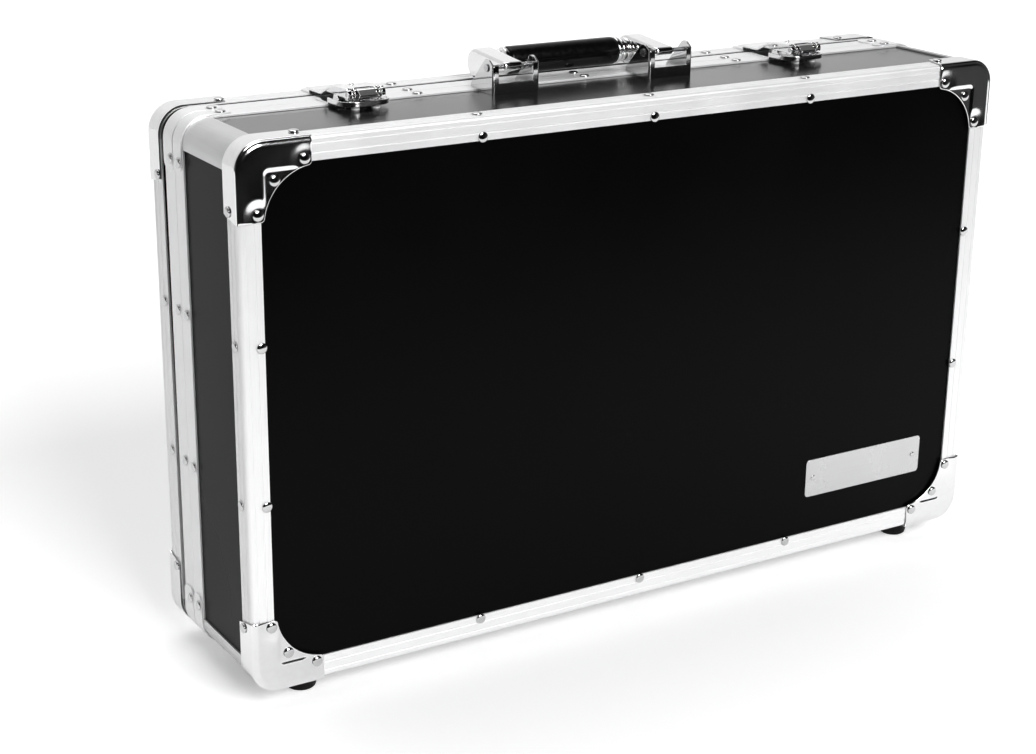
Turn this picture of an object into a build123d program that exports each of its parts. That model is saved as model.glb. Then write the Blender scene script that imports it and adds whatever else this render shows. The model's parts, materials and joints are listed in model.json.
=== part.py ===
"""Upright pedal case: an aluminium-framed deep shell, a shallow lid hinged along the bottom edge,
a folding handle and two draw latches.

Frame: +X runs along the width, +Y from the front face of the shell to the back of the lid, +Z up.
The origin lies on the floor under the feet, at the middle of the width and of the depth.
A depth counts from the front face of the shell, a rise from the outer surface of the frame outwards,
and an inset from that surface inwards.
"""
import os

from build123d import *

os.makedirs("parts", exist_ok=True)

# ---------------------------------------------------------------- driving dimensions (mm)
case_width = 620.0
case_height = 372.0
case_depth = 140.0
lid_depth = 18.5
seam = 6.5                     # open seam between shell and lid
foot_height = 14.0
corner_radius = 18.0
corner_reach = 20.0            # from a corner to where the straight lengths start

board = 5.0
skin = 1.5                     # wall of the aluminium lengths
fit = 0.1                      # clearance of a board in its slot
play = 0.3                     # clearance between parts that move past each other
running = 0.05                 # radial clearance of a pin in its bore

edge_face = 16.0
edge_side = 15.5
edge_round = 2.5
groove_places = (4.4, 10.4)
groove_width = 0.9
groove_depth = 0.35

closure_width = 31.0
closure_split_ahead = 16.6     # groove between the two bands of the closure length
closure_web_ahead = 10.0       # where the board slot ends
closure_lip = 6.0              # how far the outer skin runs on ahead of the inner wall
slot_reach = 14.0              # from a corner to the end of a board slot

seal_inset = 2.7
seal_thickness = 3.6
seal_root = 3.8
pad = 10.0
lid_pad = 6.0
pad_margin = 1.0
lid_leg = 8.0

bracket_leg = 51.0
bracket_sheet = 1.2
bracket_flange = 17.6
bracket_bevel = 4.0
bracket_bend = 1.6
bracket_arc_centre = 54.5
bracket_arc_radius = 36.8
bracket_tip = 3.0              # rounding of the legs where they lie on the board
emboss_leg = 41.5
emboss_width = 17.5
emboss_margin = 2.8
emboss_rise = 0.7
emboss_soft = 0.6

band_leg = 37.0
band_sheet = 1.2
band_margin = 0.6
band_round = 6.0

rivet_radius = 3.6
rivet_crown = 1.9
rivet_rise = 1.7
rivet_inset = 13.5
middle_rivet_end_x = 174.0     # from each corner to the nearest rivet between the brackets
middle_rivet_end_z = 132.0
edge_rivet_depth_long = 7.5    # on the top and bottom edges
edge_rivet_depth_short = 10.0  # on the left and right edges
bracket_rivet_end = 46.0
bracket_rivet_middle = 25.2
bracket_rivet_side = 44.5
bracket_rivet_depth = 11.0
band_rivet = 29.0
closure_rivet_front_ahead = 26.5
closure_rivet_back_ahead = 12.0
lid_rivet_back = 13.2          # from the back of the lid

foot_top_radius = 12.5
foot_bottom_radius = 10.0
foot_boss_radius = 4.0
foot_round = 2.4
foot_front_end = 44.0          # from the end of the case
foot_front_depth = 21.7
foot_back_end = 60.0
foot_back_ahead = 22.0
foot_screw_radius = 3.4
foot_screw_head = 2.0
foot_recess = 6.0

plate_width = 115.0
plate_height = 30.5
plate_sheet = 0.9
plate_round = 3.0
plate_end = 98.5               # from the right end of the case to the plate's middle
plate_up = 60.75
plate_rivet_pitch = 101.0
plate_rivet_radius = 2.1
plate_rivet_rise = 0.7

handle_x = -7.0
handle_pitch = 130.0
handle_pin_ahead = 43.0
handle_pin_rise = 16.3
handle_pin_radius = 1.6
handle_pin_head = 2.7
handle_pin_head_rise = 0.9
handle_reach = 39.0            # from the pin back to the middle of the grip
grip_rise = 12.2
grip_radius = 10.0
grip_round = 2.6
core_radius = 4.0
core_hold = 12.0               # how deep the core sits in each shoulder
grip_half = 46.0
shoulder_width = 15.5
shoulder_radius = 10.4
shoulder_round = 2.0
knuckle_radius = 2.9
ferrule_length = 10.0
ferrule_cup = 9.6
ferrule_neck = 6.6
ferrule_collar = 8.4
ferrule_step = 0.7

yoke_width = 37.5
yoke_sheet = 1.5
yoke_front_reach = 8.0         # from the pin to the front wall
yoke_back_reach = 22.0
yoke_ear = 6.0
yoke_front_rise = 18.0
yoke_back_rise = 2.4
yoke_post = 5.0
yoke_sill = 6.2
yoke_rivet_pitch = 18.0

latch_end_left = 123.0         # from each end of the case
latch_end_right = 127.5
pan_width = 38.0
pan_front_ahead = 55.0
pan_back_ahead = 10.0
pan_rise = 2.2                 # top of the raised pan floor
pan_sheet = 1.1
pan_rim = 4.4
pan_corner = 12.0
post_radius = 2.9
post_pitch = 15.2
post_ahead = 48.5
pivot_ahead = 29.0
pivot_rise = 6.6
pivot_radius = 1.25
eye_radius = 2.2
ear_gap = 22.0
ear_sheet = 1.2
ear_root = 10.0
lever_length = 19.0            # from the pivot to the barrel
barrel_rise = 8.4
barrel_radius = 3.4
barrel_bore = 1.2              # radius of the barrel pin
lever_knuckle = 13.0
lever_sheet = 1.4
web_length = 8.0               # plate under the barrel, between the lever's arms
lip_reach = 5.4                # from the barrel forward to the lip's bead
lip_drop = 1.0                 # from the barrel down to the lip's bead
lip_bead = 1.1
claw_side_gap = 0.5            # from the ears to the claw's flanges
claw_sheet = 1.2
claw_flange = 1.1
claw_fall = 1.6                # how far the plate slopes down from the barrel to the shoulder
claw_shoulder_ahead = 24.0
claw_flange_rise = 6.0
claw_flange_back = 7.0         # how far the flanges run on under the shoulder
claw_slope = 15.0              # length of the slope down to the lip
claw_lip = 5.0
claw_gap = 0.35                # the lip stands just clear of the catch
claw_rivet_ahead = 28.0
claw_rivet_radius = 2.6
keeper_margin = 1.7            # from the front of the lid to the catch
keeper_length = 14.3
keeper_sheet = 1.2
keeper_catch = 1.0             # radius of the rolled catch
keeper_rise = 2.0

hinge_end = 123.0              # from the end of the case
hinge_length = 62.0
hinge_knuckles = 5
hinge_sheet = 1.4
hinge_drop = 0.8
hinge_radius = 2.9
hinge_pin = 1.2
hinge_leaf = 16.6
hinge_corner = 3.0
hinge_rivet_pitch = 30.0

# ---------------------------------------------------------------- worked-out values
front_y = -case_depth / 2
half_width = case_width / 2
half_height = case_height / 2
shell_depth = case_depth - lid_depth - seam
middle_z = foot_height + half_height
top_z = foot_height + case_height
channel = board + 2 * fit
wall = channel + 2 * skin
board_inset = skin + fit
front_board_back = board_inset + board
back_board_front = case_depth - board_inset - board
lid_front = shell_depth + seam
closure_front = shell_depth - closure_width
closure_split = shell_depth - closure_split_ahead
closure_web = shell_depth - closure_web_ahead
closure_rivet_front = shell_depth - closure_rivet_front_ahead
closure_rivet_back = shell_depth - closure_rivet_back_ahead
lid_rivet_depth = case_depth - lid_rivet_back
rivet_offset_x = half_width - middle_rivet_end_x
rivet_offset_z = half_height - middle_rivet_end_z
seal_start = shell_depth - seal_root
seal_end = lid_front - play
pad_inset = wall + pad_margin
plate_front = board_inset - plate_sheet
plate_x = half_width - plate_end
handle_pin_depth = shell_depth - handle_pin_ahead
grip_depth = handle_pin_depth + handle_reach
yoke_front = handle_pin_depth - yoke_front_reach
yoke_back = handle_pin_depth + yoke_back_reach
yoke_rivet_depth = (yoke_front + yoke_sheet + closure_front) / 2
latch_places = {"left": latch_end_left - half_width, "right": half_width - latch_end_right}
pan_front = shell_depth - pan_front_ahead
pan_back = shell_depth - pan_back_ahead
post_depth = shell_depth - post_ahead
pivot_depth = shell_depth - pivot_ahead
barrel_depth = pivot_depth - lever_length
web_front = barrel_depth - lever_sheet / 2
web_back = web_front + web_length
web_rise = barrel_rise - barrel_radius - play - lever_sheet / 2
lip_depth = barrel_depth - lip_reach
lip_rise = barrel_rise - lip_drop
keeper_front = lid_front + keeper_margin
keeper_back = keeper_front + keeper_length
catch_depth = keeper_front + keeper_catch
claw_shoulder_depth = shell_depth - claw_shoulder_ahead
claw_lip_depth = claw_shoulder_depth + claw_slope
claw_end = catch_depth + claw_lip
claw_rivet_depth = shell_depth - claw_rivet_ahead
claw_width = ear_gap + 2 * (ear_sheet + claw_side_gap + claw_flange)
hinge_x = half_width - hinge_end
hinge_depth = shell_depth + seam / 2
hinge_z = foot_height - hinge_drop
barrel_top = barrel_rise + barrel_radius
claw_under = barrel_top - claw_sheet / 2
claw_top = claw_under + claw_sheet
claw_shoulder_under = claw_under - claw_fall
claw_lip_under = keeper_rise + claw_gap
claw_rivet_share = (claw_rivet_depth - barrel_depth) / (claw_shoulder_depth - barrel_depth)
claw_rivet_foot = claw_top - claw_fall * claw_rivet_share
arm_outer = ear_gap / 2 - play
arm_inner = arm_outer - lever_sheet
notch_back = barrel_depth + barrel_radius + play

# Each side of the case by the outward direction (x, z) of its surface.
sides = {"top": (0, 1), "right": (1, 0), "bottom": (0, -1), "left": (-1, 0)}
diagonal = Axis((0, 0, 0), (1, 1, 0))


# ---------------------------------------------------------------- planes and shared operations
def at(x, depth, z):
    """A point, from its depth behind the front face."""
    return (x, front_y + depth, z)


def face_plane(depth):
    """Plane across the case at a depth, seen from the front: local x is +X, local y is +Z."""
    return Plane(origin=at(0, depth, middle_z), x_dir=(1, 0, 0), z_dir=(0, -1, 0))


def back_plane(depth):
    """Plane across the case at a depth, seen from the back."""
    return Plane(origin=at(0, depth, middle_z), x_dir=(-1, 0, 0), z_dir=(0, 1, 0))


def section(x, z=top_z):
    """Plane across the width at x: local x is depth, local y is the height above z."""
    return Plane(origin=at(x, 0, z), x_dir=(0, 1, 0), z_dir=(1, 0, 0))


def plan(x, rise):
    """Level plane above the case: local x is +X from x, local y is depth."""
    return Plane(origin=at(x, 0, top_z + rise), x_dir=(1, 0, 0), z_dir=(0, 0, 1))


def side_length(nx):
    """Distance between the corners at the ends of a side."""
    return case_height if nx else case_width


def side_reach(nx):
    """Distance from the middle of the case to the outer surface of a side."""
    return half_width if nx else half_height


def side_section(nx, nz, run):
    """Section plane at one end of a run along a side: local x is depth, local y points outwards."""
    start = side_reach(nx)
    return Plane(
        origin=at(nx * start - nz * run / 2, 0, middle_z + nz * start + nx * run / 2),
        x_dir=(0, 1, 0),
        z_dir=(nz, 0, -nx),
    )


def side_plane(nx, nz, rise=0.0):
    """Plane on a side of the case: local x is depth, local y runs along the side."""
    reach = side_reach(nx) + rise
    return Plane(origin=at(nx * reach, 0, middle_z + nz * reach), x_dir=(0, 1, 0), z_dir=(nx, 0, nz))


def strip(depths, insets, mode=Mode.ADD):
    """A rectangle of a side section, between two depths and two insets."""
    with Locations(((depths[0] + depths[1]) / 2, -(insets[0] + insets[1]) / 2)):
        Rectangle(depths[1] - depths[0], insets[1] - insets[0], mode=mode)


def cuboid(x_range, depths, z_range, mode=Mode.ADD):
    """A block between two values along each axis."""
    low, high = zip(x_range, depths, z_range)
    middle = [(a + b) / 2 for a, b in zip(low, high)]
    with Locations(at(*middle)):
        Box(*[b - a for a, b in zip(low, high)], mode=mode)


def rod(x_range, depth, z, radius, mode=Mode.ADD):
    """A round bar along X."""
    with Locations(Location(at(sum(x_range) / 2, depth, z), (0, 90, 0))):
        Cylinder(radius, x_range[1] - x_range[0], mode=mode)


def corner_block(low, high, reach, grow=0.0, mode=Mode.ADD):
    """A block with one round edge at the top right corner, grown or shrunk from the case's outline."""
    with BuildSketch(face_plane(high)) as outline:
        with Locations((half_width + grow, half_height + grow)):
            Rectangle(reach + grow, reach + grow, align=(Align.MAX, Align.MAX))
        fillet(vertices().sort_by(diagonal)[-1], corner_radius + grow)
    extrude(outline.sketch, amount=high - low, mode=mode)


def to_four_corners():
    """Repeat what stands at the top right corner at the other three."""
    mirror(about=Plane.YZ)
    mirror(about=Plane.XY.offset(middle_z))


def rounded_outline(inset):
    """The case's outline seen from the front, shrunk by an inset."""
    RectangleRounded(case_width - 2 * inset, case_height - 2 * inset, corner_radius - inset)


def on_plane(plane, points):
    """Locations of points on a plane, each facing along its normal."""
    return [plane.location * Location((x, y, 0)) for x, y in points]


def save(part, name):
    """Label a finished piece and write it."""
    part.label = name
    export_step(part, f"parts/{name}.step")


# ---------------------------------------------------------------- laminated boards
for name, low in (("front_panel", board_inset), ("back_panel", back_board_front)):
    with BuildPart() as face_board:
        with BuildSketch(face_plane(low + board)):
            rounded_outline(board_inset)
        extrude(amount=board)
    save(face_board.part, name)

for side, (nx, nz) in sides.items():
    run = side_length(nx) - 2 * (slot_reach + fit)
    for name, low, high in (
        (f"{side}_panel", front_board_back + fit, closure_web - fit),
        (f"lid_{side}_wall", lid_front + skin + fit, back_board_front - fit),
    ):
        with BuildPart() as side_board:
            with BuildSketch(side_section(nx, nz, run)):
                strip((low, high), (board_inset, board_inset + board))
            extrude(amount=run)
        save(side_board.part, name)

# ---------------------------------------------------------------- aluminium lengths
for side, (nx, nz) in sides.items():
    run = side_length(nx) - 2 * corner_reach

    with BuildPart() as front_edge:
        with BuildSketch(side_section(nx, nz, run)):
            strip((0, edge_side), (0, skin))
            strip((0, skin), (0, edge_face))
            fillet(vertices().sort_by(Axis((0, 0, 0), (-1, 1, 0)))[-1], edge_round)
            for place in groove_places:
                strip((place, place + groove_width), (0, groove_depth), Mode.SUBTRACT)
                strip((0, groove_depth), (place, place + groove_width), Mode.SUBTRACT)
        extrude(amount=run)
    save(front_edge.part, f"front_edge_{side}")

    with BuildPart() as closure:
        with BuildSketch(side_section(nx, nz, run)):
            strip((closure_front, shell_depth), (0, wall))
            strip((closure_front, closure_web), (skin, wall - skin), Mode.SUBTRACT)
            strip((closure_front, closure_front + closure_lip), (skin, wall), Mode.SUBTRACT)
            strip((closure_web + skin, seal_start - skin), (skin, wall - skin), Mode.SUBTRACT)
            strip((seal_start, shell_depth), (seal_inset, seal_inset + seal_thickness), Mode.SUBTRACT)
            split = (closure_split - groove_width / 2, closure_split + groove_width / 2)
            strip(split, (0, groove_depth), Mode.SUBTRACT)
        extrude(amount=run)
    save(closure.part, f"closure_{side}")

    with BuildPart() as back_edge:
        with BuildSketch(side_section(nx, nz, run)):
            strip((lid_front, case_depth), (0, skin))
            strip((case_depth - skin, case_depth), (0, edge_face))
            strip((lid_front, lid_front + skin), (0, wall))
            strip((lid_front, lid_front + lid_leg), (wall - skin, wall))
            fillet(vertices().sort_by(diagonal)[-1], edge_round)
            for place in groove_places:
                low = case_depth - place - groove_width
                strip((low, low + groove_width), (0, groove_depth), Mode.SUBTRACT)
                strip((case_depth - groove_depth, case_depth), (place, place + groove_width), Mode.SUBTRACT)
        extrude(amount=run)
    save(back_edge.part, f"back_edge_{side}")


def board_slots(low, high):
    """Slots in both legs of a corner profile, which take the ends of the side boards."""
    reach = (corner_reach + slot_reach) / 2
    middle = skin + channel / 2
    with BuildSketch(face_plane(high)) as slots:
        with Locations((half_width - reach, half_height - middle)):
            Rectangle(corner_reach - slot_reach, channel)
        with Locations((half_width - middle, half_height - reach)):
            Rectangle(channel, corner_reach - slot_reach)
    extrude(slots.sketch, amount=high - low, mode=Mode.SUBTRACT)


def seal_ring():
    """The seal's outline, seen from the front."""
    rounded_outline(seal_inset)
    RectangleRounded(
        case_width - 2 * (seal_inset + seal_thickness),
        case_height - 2 * (seal_inset + seal_thickness),
        corner_radius - seal_inset - seal_thickness,
        mode=Mode.SUBTRACT,
    )


with BuildPart() as corner_profiles:
    corner_block(front_board_back, shell_depth, corner_reach)
    corner_block(front_board_back, shell_depth, corner_reach + 1, -wall, Mode.SUBTRACT)
    board_slots(front_board_back, closure_web)
    to_four_corners()
    with BuildSketch(face_plane(shell_depth)):
        seal_ring()
    extrude(amount=seal_root, mode=Mode.SUBTRACT)
save(corner_profiles.part, "corner_profiles")

with BuildPart() as lid_corner_posts:
    corner_block(lid_front, back_board_front, corner_reach)
    corner_block(lid_front, back_board_front, corner_reach + 1, -wall, Mode.SUBTRACT)
    board_slots(lid_front + skin, back_board_front)
    to_four_corners()
save(lid_corner_posts.part, "lid_corner_posts")

with BuildPart() as seal:
    with BuildSketch(face_plane(seal_end)):
        seal_ring()
    extrude(amount=seal_end - seal_start)
save(seal.part, "seal")

# ---------------------------------------------------------------- foam
for name, low, thickness in (
    ("base_foam", front_board_back, pad),
    ("lid_foam", back_board_front - lid_pad, lid_pad),
):
    with BuildPart() as foam:
        with BuildSketch(face_plane(low + thickness)):
            rounded_outline(pad_inset)
        extrude(amount=thickness)
    save(foam.part, name)

# ---------------------------------------------------------------- corner brackets and bands
with BuildPart() as front_brackets:
    corner_block(-bracket_sheet, bracket_flange, bracket_leg, bracket_sheet)
    corner_block(0, bracket_flange, bracket_leg + 1, 0, Mode.SUBTRACT)
    outer_edges = faces().sort_by(Axis.Y)[0].edges().sort_by(Axis((0, 0, 0), (1, 0, 1)))[-3:]
    fillet(outer_edges, bracket_bend)
    with BuildSketch(face_plane(0)):
        with Locations((half_width - bracket_arc_centre, half_height - bracket_arc_centre)):
            Circle(bracket_arc_radius)
    extrude(amount=bracket_sheet, mode=Mode.SUBTRACT)
    uprights = edges().filter_by(Axis.Y)
    tips = uprights.group_by(Axis.X)[0].sort_by(Axis.Z)[:1]
    tips += uprights.group_by(Axis.Z)[0].sort_by(Axis.X)[:1]
    fillet(tips, bracket_tip)
    bevel = ((0, 0), (bracket_flange, bracket_bevel), (bracket_flange, -1), (0, -1))
    with BuildSketch(section(half_width)):
        with BuildLine():
            Polyline([(depth, along - bracket_leg) for depth, along in bevel], close=True)
        make_face()
    with BuildSketch(plan(half_width, 0)):
        with BuildLine():
            Polyline([(along - bracket_leg, depth) for depth, along in bevel], close=True)
        make_face()
    extrude(amount=bracket_sheet, both=True, mode=Mode.SUBTRACT)
    with BuildSketch(face_plane(-bracket_sheet)):
        with Locations((half_width - emboss_margin, half_height - emboss_margin)):
            Rectangle(emboss_leg - emboss_margin, emboss_leg - emboss_margin, align=(Align.MAX, Align.MAX))
        fillet(vertices().sort_by(diagonal)[-1], corner_radius - emboss_margin)
        with Locations((half_width - emboss_width, half_height - emboss_width)):
            Rectangle(emboss_leg, emboss_leg, align=(Align.MAX, Align.MAX), mode=Mode.SUBTRACT)
    extrude(amount=emboss_rise)
    chamfer(faces().sort_by(Axis.Y)[0].edges(), emboss_soft)
    to_four_corners()
save(front_brackets.part, "front_corner_brackets")

with BuildPart() as back_brackets:
    mirror(front_brackets.part, about=Plane.XZ)
save(back_brackets.part, "back_corner_brackets")

with BuildPart() as bands:
    for low, high in (
        (closure_front + band_margin, closure_split - band_margin),
        (closure_split + band_margin, shell_depth - band_margin),
    ):
        corner_block(low, high, band_leg, band_sheet)
    corner_block(closure_front, shell_depth, band_leg + 1, 0, Mode.SUBTRACT)
    ends = edges().filter_by(Axis.Z).sort_by(Axis.X)[:4] + edges().filter_by(Axis.X).sort_by(Axis.Z)[:4]
    fillet(ends, band_round)
    to_four_corners()
save(bands.part, "corner_bands")

# ---------------------------------------------------------------- rivets
middle_places = {
    True: (-rivet_offset_z, rivet_offset_z),
    False: (-rivet_offset_x, 0, rivet_offset_x),
}
edge_face_rivets = [
    (x, end * (half_height - rivet_inset)) for x in middle_places[False] for end in (-1, 1)
] + [(end * (half_width - rivet_inset), z) for z in middle_places[True] for end in (-1, 1)]
bracket_face_rivets = [
    (end * (half_width - u), rise * (half_height - v))
    for u, v in (
        (bracket_rivet_end, rivet_inset),
        (bracket_rivet_middle, bracket_rivet_middle),
        (rivet_inset, bracket_rivet_end),
    )
    for end in (-1, 1)
    for rise in (-1, 1)
]


def along_ends(nx, reach):
    """Places near both ends of a side, at a distance from its corners."""
    end = side_length(nx) / 2 - reach
    return (-end, end)


shell_spots = on_plane(face_plane(0), edge_face_rivets)
shell_spots += on_plane(face_plane(-bracket_sheet), bracket_face_rivets)
lid_spots = on_plane(back_plane(case_depth), edge_face_rivets)
lid_spots += on_plane(back_plane(case_depth + bracket_sheet), bracket_face_rivets)
for side, (nx, nz) in sides.items():
    middles = middle_places[bool(nx)]
    surface = side_plane(nx, nz)
    edge_depth = edge_rivet_depth_short if nx else edge_rivet_depth_long
    for depth in (edge_depth, closure_rivet_front, closure_rivet_back):
        shell_spots += on_plane(surface, [(depth, place) for place in middles])
    lid_spots += on_plane(surface, [(lid_rivet_depth, place) for place in middles])
    bracket_surface = side_plane(nx, nz, bracket_sheet)
    bracket_ends = along_ends(nx, bracket_rivet_side)
    if side != "bottom":
        shell_spots += on_plane(bracket_surface, [(bracket_rivet_depth, end) for end in bracket_ends])
    lid_spots += on_plane(bracket_surface, [(lid_rivet_depth, end) for end in bracket_ends])
    for depth in (closure_rivet_front, closure_rivet_back):
        spots = [(depth, end) for end in along_ends(nx, band_rivet)]
        shell_spots += on_plane(side_plane(nx, nz, band_sheet), spots)

for name, spots in (("shell_rivets", shell_spots), ("lid_rivets", lid_spots)):
    with BuildPart() as rivets:
        with Locations(*spots):
            Cone(rivet_radius, rivet_crown, rivet_rise, align=(Align.CENTER, Align.CENTER, Align.MIN))
    save(rivets.part, name)

# ---------------------------------------------------------------- name plate
with BuildPart() as name_plate:
    with BuildSketch(face_plane(board_inset)):
        with Locations((plate_x, plate_up - half_height)):
            RectangleRounded(plate_width, plate_height, plate_round)
    extrude(amount=plate_sheet)
save(name_plate.part, "name_plate")

with BuildPart() as plate_rivets:
    with BuildSketch(face_plane(plate_front)):
        with Locations((plate_x, plate_up - half_height)):
            with GridLocations(plate_rivet_pitch, 1, 2, 1):
                Circle(plate_rivet_radius)
    extrude(amount=plate_rivet_rise)
save(plate_rivets.part, "name_plate_rivets")

# ---------------------------------------------------------------- feet
foot_places = [
    (end * (half_width - inset), depth)
    for inset, depth in (
        (foot_front_end, foot_front_depth),
        (foot_back_end, shell_depth - foot_back_ahead),
    )
    for end in (-1, 1)
]
foot_shoulder = foot_height - bracket_sheet - fit
foot_origins = [Location(at(x, depth, 0)) for x, depth in foot_places]

with BuildPart() as foot:
    with BuildSketch(Plane.XZ):
        with BuildLine():
            Polyline(
                (0, foot_recess),
                (foot_screw_radius + fit, foot_recess),
                (foot_screw_radius + fit, 0),
                (foot_bottom_radius, 0),
                (foot_top_radius, foot_shoulder),
                (foot_boss_radius, foot_shoulder),
                (foot_boss_radius, foot_height),
                (0, foot_height),
                close=True,
            )
        make_face()
        fillet(vertices().group_by(Axis.Y)[0].sort_by(Axis.X)[-1], foot_round)
    revolve(axis=Axis.Z)

with BuildPart() as feet:
    with Locations(*foot_origins):
        add(foot.part)
save(feet.part, "feet")

with BuildPart() as foot_screws:
    with Locations(*foot_origins):
        with Locations((0, 0, foot_recess)):
            Cylinder(foot_screw_radius, foot_screw_head, align=(Align.CENTER, Align.CENTER, Align.MAX))
save(foot_screws.part, "foot_screws")

# ---------------------------------------------------------------- handle
pin_z = top_z + handle_pin_rise
grip_z = top_z + grip_rise
yoke_places = {"left": handle_x - handle_pitch / 2, "right": handle_x + handle_pitch / 2}
shoulder_inner = grip_half + ferrule_length
shoulder_outer = shoulder_inner + shoulder_width


def hull(*circles):
    """The outline of circles (x, y, radius) with a band drawn tight round them."""
    with BuildSketch(mode=Mode.PRIVATE) as rounds:
        for x, y, radius in circles:
            with Locations((x, y)):
                Circle(radius)
    make_hull(rounds.sketch.edges())


for side, x in yoke_places.items():
    half = yoke_width / 2
    with BuildPart() as yoke:
        with BuildSketch(section(x)):
            with Locations((handle_pin_depth, handle_pin_rise)):
                Circle(yoke_ear)
            strip((yoke_front, yoke_front + yoke_sheet), (-yoke_front_rise, board_inset))
            strip((yoke_front, yoke_back), (-yoke_back_rise, board_inset))
            make_hull()
            strip((closure_front - fit, yoke_back), (0, board_inset), Mode.SUBTRACT)
        extrude(amount=half, both=True)
        fillet(edges().filter_by(Axis.Z).group_by(Axis.Y)[0], yoke_sheet)
        cuboid(
            (x - half + yoke_sheet, x + half - yoke_sheet),
            (yoke_front + yoke_sheet, yoke_back),
            (top_z - board_inset + yoke_sheet, top_z + handle_pin_rise + yoke_ear),
            Mode.SUBTRACT,
        )
        cuboid(
            (x - half + yoke_post, x + half - yoke_post),
            (yoke_front, yoke_front + yoke_sheet),
            (top_z + yoke_sill, top_z + handle_pin_rise + yoke_ear),
            Mode.SUBTRACT,
        )
        rod((x - half, x + half), handle_pin_depth, pin_z, handle_pin_radius + running, Mode.SUBTRACT)
    save(yoke.part, f"handle_bracket_{side}")

with BuildPart() as handle_pins:
    for x in yoke_places.values():
        reach = yoke_width / 2
        rod((x - reach, x + reach), handle_pin_depth, pin_z, handle_pin_radius)
        for end in (-1, 1):
            head = sorted((x + end * reach, x + end * (reach + handle_pin_head_rise)))
            rod(head, handle_pin_depth, pin_z, handle_pin_head)
save(handle_pins.part, "handle_pins")

with BuildPart() as bracket_rivets:
    for x in yoke_places.values():
        with BuildSketch(plan(x, yoke_sheet - board_inset)):
            with Locations((0, yoke_rivet_depth)):
                with GridLocations(yoke_rivet_pitch, 1, 2, 1):
                    Circle(plate_rivet_radius)
        extrude(amount=plate_rivet_rise)
save(bracket_rivets.part, "handle_bracket_rivets")

for side, end in (("left", -1), ("right", 1)):
    inner = handle_x + end * shoulder_inner
    outer = handle_x + end * shoulder_outer
    with BuildPart() as shoulder:
        with BuildSketch(section((inner + outer) / 2)):
            hull(
                (handle_pin_depth, handle_pin_rise, knuckle_radius),
                (grip_depth, grip_rise, shoulder_radius),
            )
        extrude(amount=shoulder_width / 2, both=True)
        fillet(faces().filter_by(Axis.X).edges(), shoulder_round)
        span = sorted((inner, outer))
        rod(span, handle_pin_depth, pin_z, handle_pin_radius + running, Mode.SUBTRACT)
        socket = sorted((inner, inner + end * core_hold))
        rod(socket, grip_depth, grip_z, core_radius + running, Mode.SUBTRACT)
    save(shoulder.part, f"handle_shoulder_{side}")

with BuildPart() as handle_core:
    reach = shoulder_inner + core_hold
    rod((handle_x - reach, handle_x + reach), grip_depth, grip_z, core_radius)
save(handle_core.part, "handle_core")

with BuildPart() as grip:
    rod((handle_x - grip_half, handle_x + grip_half), grip_depth, grip_z, grip_radius)
    fillet(edges(), grip_round)
    rod(
        (handle_x - grip_half, handle_x + grip_half),
        grip_depth,
        grip_z,
        core_radius + running,
        Mode.SUBTRACT,
    )
save(grip.part, "grip")

with BuildPart() as ferrules:
    steps = (
        (0.0, 0.30, ferrule_cup),
        (0.30, 0.46, ferrule_neck),
        (0.46, 0.70, ferrule_collar),
        (0.70, 0.84, ferrule_neck),
        (0.84, 1.0, ferrule_cup - ferrule_step),
    )
    for start, stop, radius in steps:
        low = handle_x + grip_half + start * ferrule_length
        high = handle_x + grip_half + stop * ferrule_length
        rod((low, high), grip_depth, grip_z, radius)
    reach = (handle_x + grip_half, handle_x + shoulder_inner)
    rod(reach, grip_depth, grip_z, core_radius + running, Mode.SUBTRACT)
    mirror(about=Plane.YZ.offset(handle_x))
save(ferrules.part, "ferrules")

# ---------------------------------------------------------------- latches
pivot_z = top_z + pivot_rise
barrel_z = top_z + barrel_rise


def both_ends(x, low, high):
    """The two ranges of x, mirrored about a middle."""
    return [sorted((x + end * low, x + end * high)) for end in (-1, 1)]


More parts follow.
